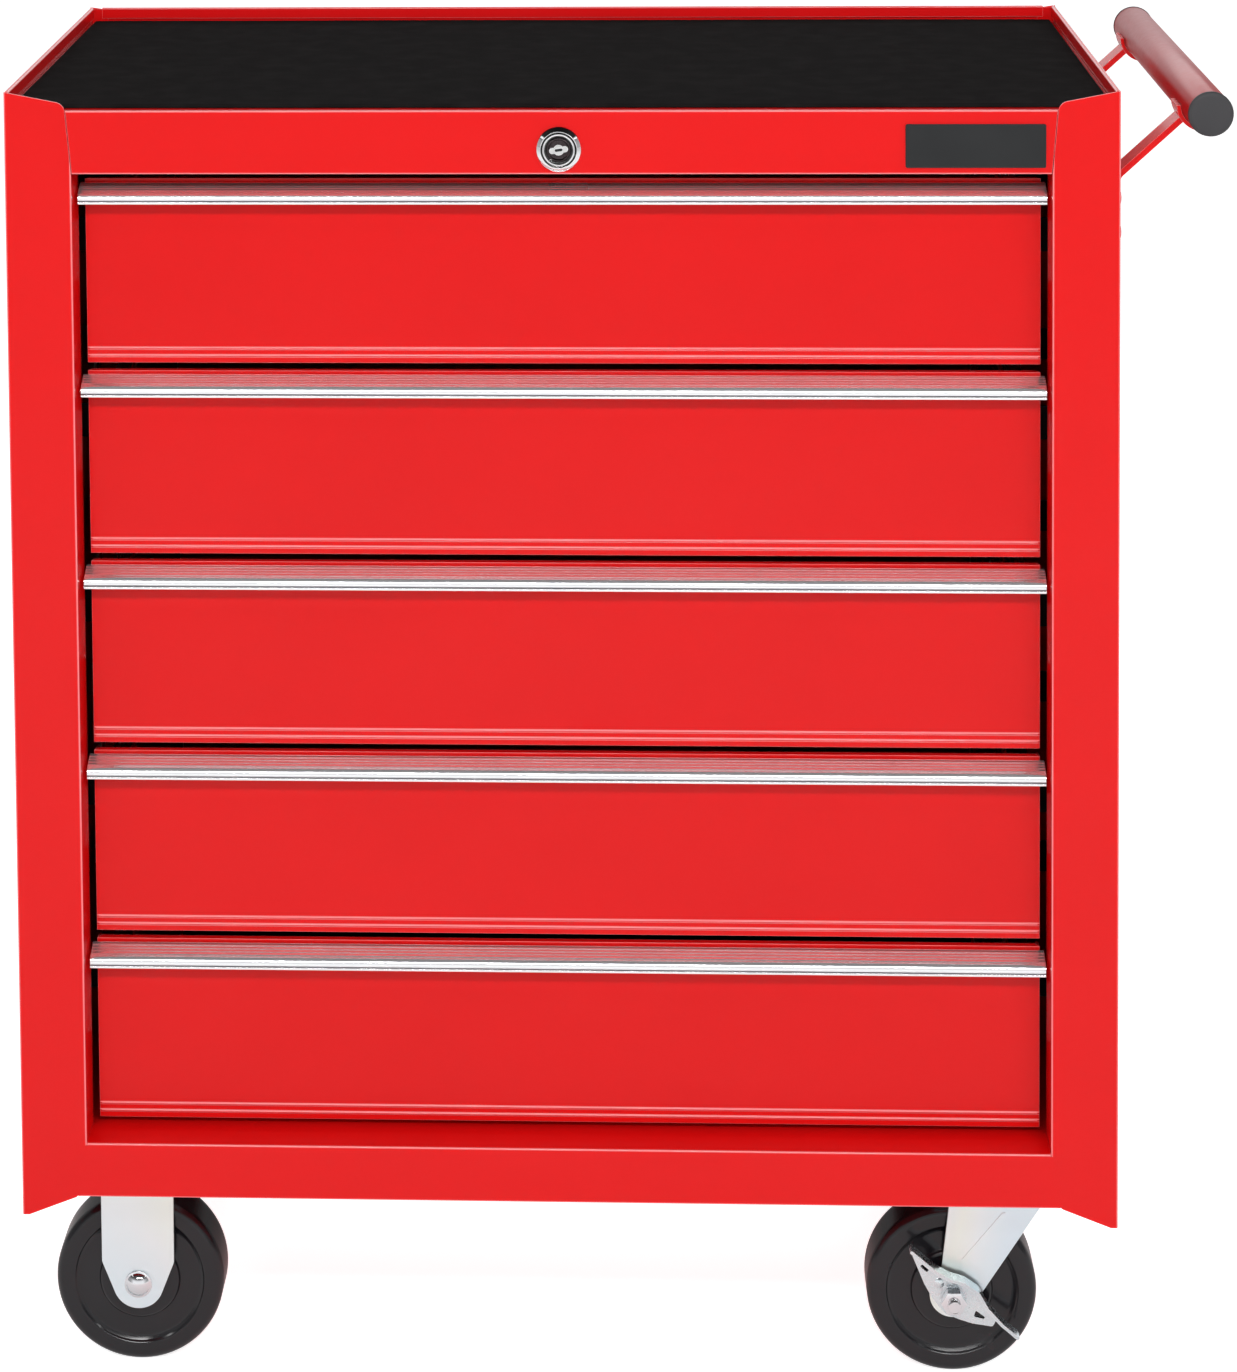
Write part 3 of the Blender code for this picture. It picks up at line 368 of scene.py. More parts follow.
def ramp(tree, factor, stops):
    """Colour ramp driven by a socket: stops are (position, colour), where one number is a grey."""
    node = add(tree, "ValToRGB", factor)
    elements = node.color_ramp.elements
    while len(elements) < len(stops):
        elements.new(0.5)
    for element, (position, colour) in zip(elements, stops):
        element.position = position
        element.color = (*(colour if isinstance(colour, tuple) else [colour] * 3), 1.0)
    return node.outputs["Color"]


def span(tree, factor, low, high, start=0.0, end=1.0):
    """A socket's value mapped from start..end to low..high."""
    return add(tree, "MapRange", factor, start, end, low, high).outputs["Result"]


def coordinates(tree, kind="Object"):
    return add(tree, "TexCoord").outputs[kind]


def component(tree, vector, axis):
    return add(tree, "SeparateXYZ", vector).outputs[axis]


def noise(tree, scale, detail=2.0, stretch=(1, 1, 1)):
    """Noise in cabinet coordinates; stretch divides the scale along an axis."""
    mapped = add(tree, "Mapping", coordinates(tree), Scale=[1 / value for value in stretch])
    node = add(tree, "TexNoise", Vector=mapped.outputs["Vector"], Scale=scale, Detail=detail, Roughness=0.5)
    return node.outputs["Fac"]


def mixed(tree, factor, first, second, blend="MIX"):
    """Two colours mixed; the factor and the colours are sockets or values."""
    node = tree.nodes.new("ShaderNodeMix")
    node.data_type = "RGBA"
    node.blend_type = blend
    feed(tree, node.inputs["Factor"], factor)
    colours = [item for item in node.inputs if item.type == "RGBA"]
    feed(tree, colours[0], first)
    feed(tree, colours[1], second)
    return next(item for item in node.outputs if item.type == "RGBA")


def edge_mask(tree, radius, strength=1.0):
    """The strength along convex and concave edges of the mesh, 0 on its flats."""
    bevel = add(tree, "Bevel", radius)
    bevel.samples = 8
    flat = add(tree, "NewGeometry").outputs["Normal"]
    dot = add(tree, "VectorMath", bevel.outputs["Normal"], flat, operation="DOT_PRODUCT")
    return span(tree, dot.outputs["Value"], strength, 0.0, 0.80, 0.995)


def fold_mask(tree, strength):
    """The strength on the bends of sheet metal, 0 elsewhere."""
    node = add(tree, "Attribute")
    node.attribute_name = FOLD_MARK
    return span(tree, node.outputs["Fac"], 0.0, strength)


def bump(tree, height, strength, distance):
    """Bump normal; the strength is a number, or a pair for upright and for level faces."""
    if isinstance(strength, tuple):
        level = component(tree, add(tree, "NewGeometry").outputs["True Normal"], "Z")
        strength = span(tree, level, *strength, 0.75, 0.95)
    return add(tree, "Bump", Strength=strength, Distance=distance, Height=height).outputs["Normal"]


def principled(name):
    """A new node material: returns it with its tree and its Principled shader."""
    made = bpy.data.materials.new(name)
    made.use_nodes = True
    tree = made.node_tree
    return made, tree, tree.nodes["Principled BSDF"]


def powder_coat(name, base, deep, edge, roughness, wear_and_highlight):
    """Glossy powder coat: a slight orange peel, soft mottling, and paler paint on the edges and bends, partly
    thinner paint and partly a painted highlight.
    """
    made, tree, shader = principled(name)
    coat = mixed(tree, span(tree, noise(tree, 9, 3), 0.0, 1.0, 0.3, 0.7), base, deep)
    # Edges and bends turn pale pink: thinner paint and a painted highlight line
    masks = edge_mask(tree, 0.5 * MM, wear_and_highlight), fold_mask(tree, wear_and_highlight)
    edges = add(tree, "Math", *masks, operation="MAXIMUM").outputs["Value"]
    fill(
        tree, shader,
        Base_Color=mixed(tree, edges, coat, edge),
        Specular_IOR_Level=span(tree, edges, 0.25, 1.0),
        Roughness=span(tree, noise(tree, 260, 2), roughness - 0.05, roughness + 0.05),
        Normal=bump(tree, noise(tree, 700, 1), 0.06, 0.03 * MM),
    )
    return made


def painted_studio_reflection(tree, stops):
    """Brightness of a reflection painted into a metal's colour: where a mirror facing this way would look,
    dark above and white at eye level.

    The stops run over the upward part of the reflection, 0 straight down and 1 straight up.
    """
    upward = component(tree, coordinates(tree, "Reflection"), "Z")
    return ramp(tree, span(tree, upward, 0, 1, -1, 1), stops)


def distance_from_lock(tree):
    """Distance from the lock's axis in metres."""
    offset = add(tree, "VectorMath", coordinates(tree), (0, 0, LOCK_LEVEL), operation="SUBTRACT")
    flat = add(tree, "VectorMath", offset.outputs["Vector"], (1, 0, 1), operation="MULTIPLY")
    return add(tree, "VectorMath", flat.outputs["Vector"], operation="LENGTH").outputs["Value"]


def plated_metal(
    name, base, tint, roughness, brush, wear_and_highlight_colour, bump_strength=0.25, mirror=(), rings=(), metallic=1.0
):
    """Plated metal: long brush streaks along one axis, a faint tint in patches and brighter edges, partly
    wear and partly a painted highlight.
    """
    made, tree, shader = principled(name)
    streaks = noise(tree, 900, 3, brush)
    colour = mixed(tree, span(tree, noise(tree, 28, 2), 0.0, 1.0, 0.35, 0.65), base, tint)
    # Painted reflection: the colour darkens where the surface would mirror the dim overhead
    if mirror:
        colour = mixed(tree, 1.0, colour, painted_studio_reflection(tree, mirror), "MULTIPLY")
    # Painted shade: darker rings where the lock bezel's grooves and inner lip lie
    if rings:
        reach = span(tree, distance_from_lock(tree), 0, 1, 0, 13 * MM)
        colour = mixed(tree, 1.0, colour, ramp(tree, reach, rings), "MULTIPLY")
    fill(
        tree, shader,
        # Edges painted brighter: partly wear, partly a painted highlight
        Base_Color=mixed(tree, edge_mask(tree, 0.4 * MM, 0.8), colour, wear_and_highlight_colour),
        Metallic=metallic,
        Roughness=span(tree, streaks, roughness * 0.7, roughness * 1.4, 0.3, 0.7),
        Normal=bump(tree, streaks, bump_strength, 0.02 * MM),
    )
    return made


def zinc_plate(name):
    """Bright zinc with a faint passivation rainbow, as on pressed caster parts."""
    made, tree, shader = principled(name)
    film = ramp(tree, noise(tree, 16, 1, (1, 1, 2.5)), PASSIVATION)
    grain = noise(tree, 420, 1, (1, 1, 4))
    fill(
        tree, shader,
        # Edges painted near-white: partly worn zinc, partly a painted highlight
        Base_Color=mixed(tree, edge_mask(tree, 0.5 * MM, 0.9), film, (0.97, 0.97, 0.97)),
        Metallic=0.92,
        Roughness=span(tree, grain, 0.29, 0.33, 0.3, 0.7),
        Normal=bump(tree, grain, 0.004, 0.01 * MM),
    )
    return made


def moulded_plastic(name, base, pale, roughness, grain_scale, grain_strength):
    """Moulded plastic: fine grain, a slight bloom in patches and scuffed, paler edges."""
    made, tree, shader = principled(name)
    bloom = noise(tree, 35, 3)
    colour = mixed(tree, span(tree, bloom, 0.0, 0.5, 0.35, 0.75), base, pale)
    scuffed = tuple(2.2 * value for value in pale)
    fill(
        tree, shader,
        Base_Color=mixed(tree, edge_mask(tree, 0.6 * MM, 0.5), colour, scuffed),
        Specular_IOR_Level=0.3,
        Roughness=span(tree, bloom, roughness - 0.06, roughness + 0.08, 0.3, 0.7),
        Normal=bump(tree, noise(tree, grain_scale, 2), grain_strength, 0.04 * MM),
    )
    return made


def wheel_plastic(name):
    """Moulded plastic whose side faces are polished and whose tread is dulled by rolling."""
    made = moulded_plastic(name, (0.0066, 0.0061, 0.0080), (0.0100, 0.0091, 0.0116), 0.20, 500, 0.02)
    tree = made.node_tree
    local = add(tree, "VectorTransform", add(tree, "NewGeometry").outputs["Normal"])
    local.vector_type = "NORMAL"
    local.convert_from = "WORLD"
    local.convert_to = "OBJECT"
    facing = add(tree, "Math", component(tree, local.outputs["Vector"], "Y"), operation="ABSOLUTE")
    shine = span(tree, facing.outputs["Value"], 0.02, 0.46, 0.15, 0.60)
    fill(tree, tree.nodes["Principled BSDF"], Specular_IOR_Level=shine)
    return made


def foam_rubber(name):
    """Non-slip foam rubber: matt, with open pores and dusty high spots."""
    made, tree, shader = principled(name)
    dust = noise(tree, 60, 4)
    dusty = span(tree, dust, 0.0, 1.0, 0.4, 0.75)
    pores = add(tree, "TexVoronoi", Vector=coordinates(tree), Scale=900).outputs["Distance"]
    fill(
        tree, shader,
        Base_Color=mixed(tree, dusty, (0.0105, 0.0095, 0.0095), (0.016, 0.0145, 0.0145)),
        Specular_IOR_Level=0.02,
        Roughness=span(tree, dust, 0.86, 1.0),
        Normal=bump(tree, pores, 0.35, 0.15 * MM),
    )
    return made


# Stops of colour ramps: (position, grey or colour)
# Painted reflections for metals: sharp for mirror chrome, soft for duller metal
MIRROR_STOPS = ((0.0, 0.95), (0.66, 1.0), (0.72, 0.10), (1.0, 0.05))
SOFT_STOPS = ((0.0, 0.85), (0.40, 0.92), (0.50, 1.0), (0.66, 1.0), (0.76, 0.34), (1.0, 0.16))
# Painted shade in the lock bezel's grooves and inner lip, over the distance from the lock's axis
GROOVE_SHADE_RINGS = ((0.0, 0.05), (0.625, 0.05), (0.64, 1.0), (0.712, 1.0), (0.722, 0.05), (0.785, 0.05), (0.795, 1.0))
PASSIVATION = (
    (0.30, (0.66, 0.80, 0.90)), (0.42, (0.76, 0.86, 0.90)), (0.52, (0.82, 0.88, 0.89)),
    (0.62, (0.84, 0.89, 0.83)), (0.72, (0.79, 0.83, 0.90)),
)

PAINT, PAINT_DEEP = (0.745, 0.0056, 0.0062), (0.72, 0.005, 0.0055)
BRIGHT, BRIGHT_TINT = (0.97, 0.97, 0.98), (0.93, 0.93, 0.95)
WHITE = (1.0, 1.0, 1.0)
EVEN = (1, 1, 1)

RED = powder_coat("red_powder_coat", PAINT, PAINT_DEEP, (1.0, 0.28, 0.29), 0.22, 0.85)
DRAWER_RED = powder_coat(
    "drawer_powder_coat", (0.715, 0.005, 0.0054), (0.69, 0.0045, 0.005), (1.0, 0.28, 0.29), 0.22, 0.85
)
# Grip tube: the cabinet's red made darker, as painted shade for a tube that gets little light from above
SHADED_HANDLE_RED = powder_coat(
    "handle_coat_with_painted_shade", (0.40, 0.006, 0.008), (0.35, 0.005, 0.007), (0.9, 0.22, 0.23), 0.36, 0.6
)
FILL_RED = powder_coat("weld_fill_coat", PAINT, PAINT_DEEP, (0.8, 0.01, 0.01), 0.22, 0.05)
CHROME = plated_metal(
    "bright_pull_metal", BRIGHT, BRIGHT_TINT, 0.10, (60, 1, 1), (0.99, 0.99, 0.99), (0.03, 0.6), metallic=0.86
)
# Dark strip in each pull's groove: painted shade where the groove would be dark
GROOVE_SHADE_METAL = plated_metal(
    "groove_shade_metal", (0.24, 0.24, 0.25), (0.18, 0.18, 0.19), 0.5, (60, 1, 1), (0.30, 0.30, 0.31), 0.1
)
LOCK_CHROME = plated_metal(
    "lock_chrome", BRIGHT, BRIGHT_TINT, 0.06, EVEN, WHITE, 0.04, MIRROR_STOPS, GROOVE_SHADE_RINGS
)
BOSS_CHROME = plated_metal("keyhole_chrome", WHITE, BRIGHT, 0.20, EVEN, WHITE, 0.02, MIRROR_STOPS)
PLUG_METAL = plated_metal(
    "plug_metal", (0.085, 0.068, 0.072), (0.035, 0.028, 0.032), 0.30, EVEN, (0.34, 0.31, 0.32), 0.6,
    MIRROR_STOPS,
)
ZINC = zinc_plate("zinc_plate")
LEVER_ZINC = plated_metal(
    "lever_zinc", (0.80, 0.86, 0.88), (0.66, 0.74, 0.78), 0.24, EVEN, WHITE, 0.05, SOFT_STOPS
)
BOLT = plated_metal(
    "bolt_metal", (0.86, 0.87, 0.89), (0.74, 0.75, 0.78), 0.12, EVEN, BRIGHT, 0.06, SOFT_STOPS
)
# Near-black steel for the slide brackets: painted shade in the narrow gaps beside the drawers
SHADE_DARK_STEEL = plated_metal(
    "steel_darkened_as_shade", (0.030, 0.030, 0.033), (0.020, 0.020, 0.022), 0.5, (1, 20, 1), (0.08, 0.08, 0.08)
)
STEEL = plated_metal(
    "slide_steel", (0.58, 0.59, 0.61), (0.48, 0.50, 0.54), 0.30, (1, 40, 1), (0.85, 0.86, 0.88)
)
WHEEL = wheel_plastic("wheel_plastic")
CAP = moulded_plastic("cap_plastic", (0.040, 0.039, 0.042), (0.054, 0.053, 0.056), 0.50, 1200, 0.30)
PLATE = moulded_plastic("badge_plastic", (0.016, 0.017, 0.018), (0.019, 0.020, 0.021), 0.35, 900, 0.06)
FOAM = foam_rubber("foam_rubber")


# ---------------------------------------------------------------- cabinet shell


def hemmed(outer, inner, start, end, top, drop):
    """Two panels of an edge folded over: the strip between two x along the top, and its inner flange."""
    crest = flat_panel([(outer, start), (outer, end), (inner, end), (inner, start)], "z", top)
    return [crest, flat_panel(rectangle(start, top, end, top - drop), "x", inner)]


def side_shell(word, side):
    """Outer panel with its eared front flange, the flange's return and the hem along the top edge."""
    outline = [
        (HALF_WIDTH, PANEL_TOP),
        (APRON_TOP_HALF + SEAM + (EAR_TOP - APRON_TOP) * APRON_FLARE, EAR_TOP),
        (OPENING_HALF, OPENING_TOP),
        (OPENING_HALF, OPENING_BOTTOM),
        (EAR_HALF, RAIL_BOTTOM),
        (HALF_WIDTH - EAR_TIP, PANEL_BOTTOM),
        (HALF_WIDTH, PANEL_BOTTOM),
    ]
    outline = rounded(outline, [0, EAR_ROUNDING, 0, 0, 2 * MM, 1 * MM, 0], 6)
    start, end = 2 * FOLD_RADIUS, DEPTH - HEM_WIDTH - SEAM
    outer, inner = side * HALF_WIDTH, side * (HALF_WIDTH - HEM_WIDTH)
    web = [
        (0, PANEL_BOTTOM), (0, PANEL_TOP), (start, PANEL_TOP),
        (end, PANEL_TOP), (DEPTH, PANEL_TOP), (DEPTH, PANEL_BOTTOM),
    ]
    fold = [
        (0, OPENING_BOTTOM), (0, OPENING_TOP), (RETURN_DEPTH, OPENING_TOP - SEAM),
        (RETURN_DEPTH, OPENING_BOTTOM + SEAM),
    ]
    panels = [[(side * x, 0, z) for x, z in outline], flat_panel(web, "x", outer)]
    panels += hemmed(outer, inner, start, end, PANEL_TOP, HEM_HEIGHT)
    panels.append(flat_panel(fold, "x", side * OPENING_HALF))
    inside = (0, DEPTH / 2, (PANEL_TOP + PANEL_BOTTOM) / 2)
    shell(f"side_shell_{word}", panels, inside, RED, "cabinet", f"side_panel_{word}")


def stepped(half, depth):
    """A level panel: as wide as given within the fold at the front, and inside the walls behind it."""
    behind = FOLD_RADIUS + SEAM
    right = [(half, 0), (half, behind), (INSIDE_HALF, behind), (INSIDE_HALF, depth)]
    return [(-half, 0)] + right + [(-x, y) for x, y in right[:0:-1]]


def top_shell():
    """Flat top, the front apron that carries the lock, and the return under the apron."""
    low_half = OPENING_HALF - SEAM
    panels = []
    for side in (-1, 1):
        rim = arc((0, LOCK_LEVEL), LOCK_HOLE, -math.pi / 2, side * math.pi - math.pi / 2, 24)
        outline = [(0, OPENING_TOP)] + [(abs(x) * side, z) for x, z in rim] + [(0, APRON_TOP)]
        outline += [(side * APRON_TOP_HALF, APRON_TOP), (side * low_half, OPENING_TOP)]
        panels.append(flat_panel(outline, "y", 0))
    top = stepped(APRON_TOP_HALF, TOP_HIGH.y)
    top.insert(1, (0, 0))
    fold = [
        (-low_half, 0), (0, 0), (low_half, 0),
        (low_half - 2 * SHEET, APRON_RETURN), (-low_half + 2 * SHEET, APRON_RETURN),
    ]
    panels += [flat_panel(top, "z", APRON_TOP), flat_panel(fold, "z", OPENING_TOP)]
    shell("top_shell", panels, (0, DEPTH / 2, OPENING_TOP), RED, "cabinet", "top_panel")


def bottom_shell():
    """Shelf under the drawers, front and back rails, and the flanges that carry the casters."""
    top_half, low_half = OPENING_HALF - SEAM, EAR_HALF - SEAM
    back, flange = BASE_HIGH.y, 100 * MM
    front = [
        (-low_half, RAIL_BOTTOM), (low_half, RAIL_BOTTOM),
        (top_half, OPENING_BOTTOM), (-top_half, OPENING_BOTTOM),
    ]
    panels = [
        flat_panel(front, "y", 0),
        flat_panel(stepped(top_half, back), "z", OPENING_BOTTOM),
        flat_panel(stepped(low_half, flange), "z", RAIL_BOTTOM),
        flat_panel(rectangle(-INSIDE_HALF, RAIL_BOTTOM, INSIDE_HALF, OPENING_BOTTOM), "y", back),
        flat_panel(rectangle(-INSIDE_HALF, back, INSIDE_HALF, back - flange), "z", RAIL_BOTTOM),
    ]
    inside = (0, DEPTH / 2, RAIL_BOTTOM + FOLD_RADIUS)
    shell("bottom_shell", panels, inside, RED, "cabinet", "bottom_panel")


def back_shell():
    """Flat back with folded side flanges and a hemmed lip above the top."""
    low, high = place("back_panel")
    half, hem_half, inner = high.x, high.x - HEM_HEIGHT, DEPTH - HEM_WIDTH
    fold_low, fold_high = OPENING_BOTTOM + 2 * SHEET, APRON_TOP - 2 * SHEET
    near = DEPTH - 12 * MM
    right = [
        (half, low.z), (half, fold_low), (half, fold_high), (half, fold_high + SHEET),
        (half, PANEL_TOP), (hem_half, PANEL_TOP),
    ]
    outline = [(-half, low.z)] + right + [(-x, z) for x, z in right[:0:-1]]
    panels = [
        flat_panel(outline, "y", DEPTH),
        flat_panel(rectangle(-hem_half, DEPTH, hem_half, inner), "z", PANEL_TOP),
        flat_panel(rectangle(-hem_half, PANEL_TOP, hem_half, PANEL_TOP - HEM_HEIGHT), "y", inner),
    ]
    flange = [(DEPTH, fold_low), (DEPTH, fold_high), (near, fold_high), (near, fold_low)]
    panels += [flat_panel(flange, "x", side * half) for side in (-1, 1)]
    shell("back_shell", panels, (0, 0, PANEL_BOTTOM), RED, "cabinet", "back_panel")


def spot_welds():
    """Shallow raised marks of the spot welds that hold the shell together, under the paint."""
    radius, rise = 3.2 * MM, 0.22 * MM
    profile = [(0, rise), (radius * 0.55, rise * 0.9), (radius * 0.85, rise * 0.5), (radius, 0)]
    profile.append((0, -0.2 * MM))
    marks = []
    for z in (180, 300, 420, 540, 660):
        for side in (-1, 1):
            ring = [(r, side * (HALF_WIDTH + along)) for r, along in profile]
            marks.append(turned(ring, "x", (DEPTH - 7 * MM, z * MM), 20))
    for x in (-240, -80, 80, 240):
        for z in (RAIL_BOTTOM + 8 * MM, APRON_TOP - 9 * MM):
            marks.append(turned([(r, DEPTH + along) for r, along in profile], "y", (x * MM, z), 20))
    return united(*marks)


def corner_fill():
    """Filled and painted seams between the side flanges and the bottom rail."""
    strips = []
    for side in (-1, 1):
        foot, low = side * EAR_HALF, RAIL_BOTTOM + 0.6 * MM
        head, high = side * OPENING_HALF, OPENING_BOTTOM - 1.2 * MM
        half = side * 1.6 * MM
        outline = [(foot - half, low), (foot + half, low), (head + half, high), (head - half, high)]
        strips.append(prism(outline, "y", -0.03 * MM, 0.4 * MM))
    return united(*strips)


def corner_laps():
    """Small angles that close the inner corners between the side hems and the back's hem, above the top."""
    solids = []
    near = DEPTH - SHEET - 0.1 * MM
    for side in (-1, 1):
        outer = side * (HALF_WIDTH - SHEET - 0.1 * MM)
        path = [(outer - side * 11 * MM, near), (outer, near), (outer, near - 6 * MM)]
        path = rounded(path, 1.2 * MM, 4, closed=False)
        outline = sheet(path[::-1] if side > 0 else path, 0.8 * MM)
        solids.append(prism(outline, "z", APRON_TOP + 0.2 * MM, PANEL_TOP - SHEET))
    return united(*solids)


for word, side in SIDES:
    side_shell(word, side)
top_shell()
bottom_shell()
back_shell()
piece("spot_welds", spot_welds(), RED, "cabinet")
piece("corner_laps", corner_laps(), RED, "cabinet", bevel=0.1 * MM)
piece("corner_fill", corner_fill(), FILL_RED, "cabinet")


# ---------------------------------------------------------------- top mat

RIB_PITCH, RIB_VALLEY = 3.2 * MM, 0.7 * MM
RIB_SHAPE = ((0.18, 0.35), (0.34, 0.05), (0.54, 0.0), (0.74, 0.05), (0.90, 0.35), (0.98, 0.98))
MAT_COLUMNS = 36
MAT_CORNER = 1.5 * MM
MAT_WAVE = 0.35 * MM


def wave(along, across):
    """Slow unevenness of the mat, from 0 to 1, at a place given as shares of its length and width."""
    length_wave = math.sin(5 * math.pi * along + 2 * across)
    width_wave = math.sin(3 * math.pi * across + 0.7)
    return 0.5 + 0.25 * (length_wave + width_wave)


def top_mat():
    """Foam-rubber mat with moulded ribs across its width; it lies a little unevenly on the top."""
    low, high = place("top_mat")
    length, width = high.x - low.x, high.y - low.y
    count = int(width / RIB_PITCH)
    section = [(0, low.z)]
    for index in range(count):
        section.append(((index + 0.04) / count * width, high.z - RIB_VALLEY))
        section += [((index + at) / count * width, high.z - drop * RIB_VALLEY) for at, drop in RIB_SHAPE]
    section.append((width, low.z))
    mat = bmesh.new()
    rows = []
    for column in range(MAT_COLUMNS + 1):
        share = column / MAT_COLUMNS
        inset = MAT_CORNER * max(0.0, 1 - min(column, MAT_COLUMNS - column) * 2) ** 2
        row = []
        for y, z in section:
            rise = 0 if z == low.z else MAT_WAVE * wave(share, y / width)
            squeezed = low.y + inset + y * (width - 2 * inset) / width
            row.append(mat.verts.new((low.x + length * share, squeezed, z + rise)))
        rows.append(row)
    for before, after in zip(rows, rows[1:]):
        for index in range(len(section)):
            following = (index + 1) % len(section)
            mat.faces.new([before[index], after[index], after[following], before[following]])
    mat.faces.new(rows[0])
    mat.faces.new(rows[-1][::-1])
    bmesh.ops.recalc_face_normals(mat, faces=mat.faces)
    piece("ribbed_top_mat", mat, FOAM, "cabinet", "top_mat", sharp=60)


top_mat()


# ---------------------------------------------------------------- drawers

FACE_RETURN = 13 * MM
FACE_TAPER = 1.6 * MM
TRAY_RAISE = 3 * MM
WALL_HEIGHT = 88 * MM
BACK_WALL = 72 * MM
TOP_RETURN = 4.5 * MM
RIB_PROUD = 0.9 * MM
RIB_HALF = 0.9 * MM
RIB_HEIGHTS = (4.0 * MM, 8.4 * MM)
RIDGES, RIDGE = 4, 0.30 * MM


def drawer_front(low, high):
    """Folded drawer front: returns on all four edges and two pressed ribs along its foot."""
    face = low.y + RIB_PROUD
    back = face + FACE_RETURN
    half = high.x
    levels = [(low.z, 0.0)]
    for height in RIB_HEIGHTS:
        for share in (step / 3 for step in range(-3, 4)):
            levels.append((low.z + height + share * RIB_HALF, RIB_PROUD * math.sqrt(1 - share * share)))
    levels.append((high.z, 0.0))
    rows = []
    for z, proud in levels:
        middle = face - proud
        row = [(-half, face), (-half + FACE_TAPER, middle), (half - FACE_TAPER, middle), (half, face)]
        rows.append(flat_panel(row, "z", z))
    panels = []
    for below, above in zip(rows, rows[1:]):
        for left in range(3):
            panels.append([below[left], below[left + 1], above[left + 1], above[left]])
    notch = 2.2 * MM
    for row, end in ((rows[0], back), (rows[-1], face + TOP_RETURN)):
        panels.append(row + [(half - notch, end, row[0][2]), (-half + notch, end, row[0][2])])
    for column, x in ((0, -half), (3, half)):
        panels.append([row[column] for row in rows] + [(x, back, high.z - notch), (x, back, low.z + notch)])
    return panels


def mark_ribs(front, foot):
    """Paints a highlight on the upper flank of each pressed rib, with the same mark as the bends."""
    mark = front.faces.layers.float[FOLD_MARK]
    for face in front.faces:
        level = face.calc_center_median().z - foot
        if any(0.3 * RIB_HALF < level - height < RIB_HALF for height in RIB_HEIGHTS):
            face[mark] = 1.0


def drawer_tray(low, high):
    """Tray behind the front: floor, side walls with hems, and a back wall with a lowered middle."""
    half = place("slide_runner_right_1")[0].x - 0.3 * MM
    front, back = low.y + RIB_PROUD + 2.5 * SHEET, high.y
    floor = low.z + TRAY_RAISE
    top, dip = floor + WALL_HEIGHT, floor + BACK_WALL
    front_top = top - 4 * MM
    start, end = front + 22 * MM, back - 12 * MM
    inner = half - 3.2 * MM
    right = [(half, floor), (half, top), (half - 20 * MM, top), (half - 30 * MM, dip)]
    rear = [(-half, floor)] + right + [(-x, z) for x, z in right[:0:-1]]
    wall = [(front, floor), (back, floor), (back, top), (end, top), (start, top), (front, front_top)]
    panels = [
        flat_panel(rectangle(-half, front, half, back), "z", floor),
        flat_panel(rectangle(-half, floor, half, front_top), "y", front),
        flat_panel(rear, "y", back),
    ]
    for side in (-1, 1):
        panels.append(flat_panel(wall, "x", side * half))
        panels += hemmed(side * half, side * inner, start, end, top, 6 * MM)
    return panels


def drawer_liner(low, high):
    """Thin ribbed foam liner on the tray's floor."""
    half = place("slide_runner_right_1")[0].x - 4 * MM
    front, back = low.y + 6 * MM, high.y - 4 * MM
    level = low.z + TRAY_RAISE + SHEET
    crest, valley = level + 1.6 * MM, level + 1.1 * MM
    count = int((back - front) / (6 * MM))
    pitch = (back - front) / count
    section = [(front, level)]
    for index in range(count):
        for share, height in ((0.08, valley), (0.2, crest), (0.8, crest), (0.92, valley)):
            section.append((front + (index + share) * pitch, height))
    return prism(section + [(back, level)], "x", -half, half)


def drawer_rivets(low, high):
    """Rivet heads inside the tray, where the slides' inner members are fixed."""
    x = low.x - 0.3 * MM - SHEET
    profile = mm([(0, 1.3), (1.6, 1.1), (2.6, 0.5), (2.8, 0.0), (0, -0.1)])
    heads = []
    for y in (low.y + 30 * MM, (low.y + high.y) / 2, high.y - 30 * MM):
        for side in (-1, 1):
            head = [(r, side * (x - along)) for r, along in profile]
            heads.append(turned(head, "x", (y, (low.z + high.z) / 2), 20))
    return united(*heads)


def pull_section(low, high):
    """Section of the drawer pull in (y, z): ribbed slope, rounded nose, grooved lip that curls back."""
    nose, face, top, foot = low.y, high.y, high.z, low.z
    start_y, start_z = face - 2.0 * MM, top - 0.2 * MM
    end_y, end_z = nose + 3.2 * MM, foot + 7.1 * MM
    outer = [(face, top - 6 * MM), (face, top - 0.4 * MM), (face - 0.4 * MM, top), (start_y, start_z)]
    for index in range(1, 4 * RIDGES):
        share = index / (4 * RIDGES)
        rise = RIDGE * (0, 0.55, 1, 0.55)[index % 4]
        y, z = start_y + (end_y - start_y) * share, start_z + (end_z - start_z) * share
        outer.append((y - rise * 0.4, z + rise))
    bow = [(3.2, 7.1), (2.2, 6.6), (1.4, 5.9), (0.75, 5.0), (0.3, 4.0), (0.05, 3.0), (0.0, 2.45)]
    groove = [(0.8, 2.35), (0.8, 1.55), (0.0, 1.45)]
    lip = [(0.0, 1.3), (0.0, 0.5), (0.15, 0.15), (0.5, 0.0), (2.2, 0.0), (2.2, 0.9)]
    curl = [(1.8, 1.2), (1.7, 3.4), (2.6, 5.0)]
    outer += [(nose + y, foot + z) for y, z in mm(bow + groove + lip + curl)]
    inner = [(nose + 4.4 * MM, foot + 5.7 * MM), (face - 2.6 * MM, top - 1.9 * MM)]
    return outer + inner + [(face - 1.4 * MM, top - 2.6 * MM), (face - 1.4 * MM, top - 6 * MM)]


def groove_line(low):
    """Dark strip that lies in the groove of the pull's nose as painted shade, in (y, z)."""
    line = [(low.y + y, low.z + z) for y, z in mm(rectangle(0.4, 1.5, 1.1, 2.4))]
    return rounded(line, 0.1 * MM, 2)


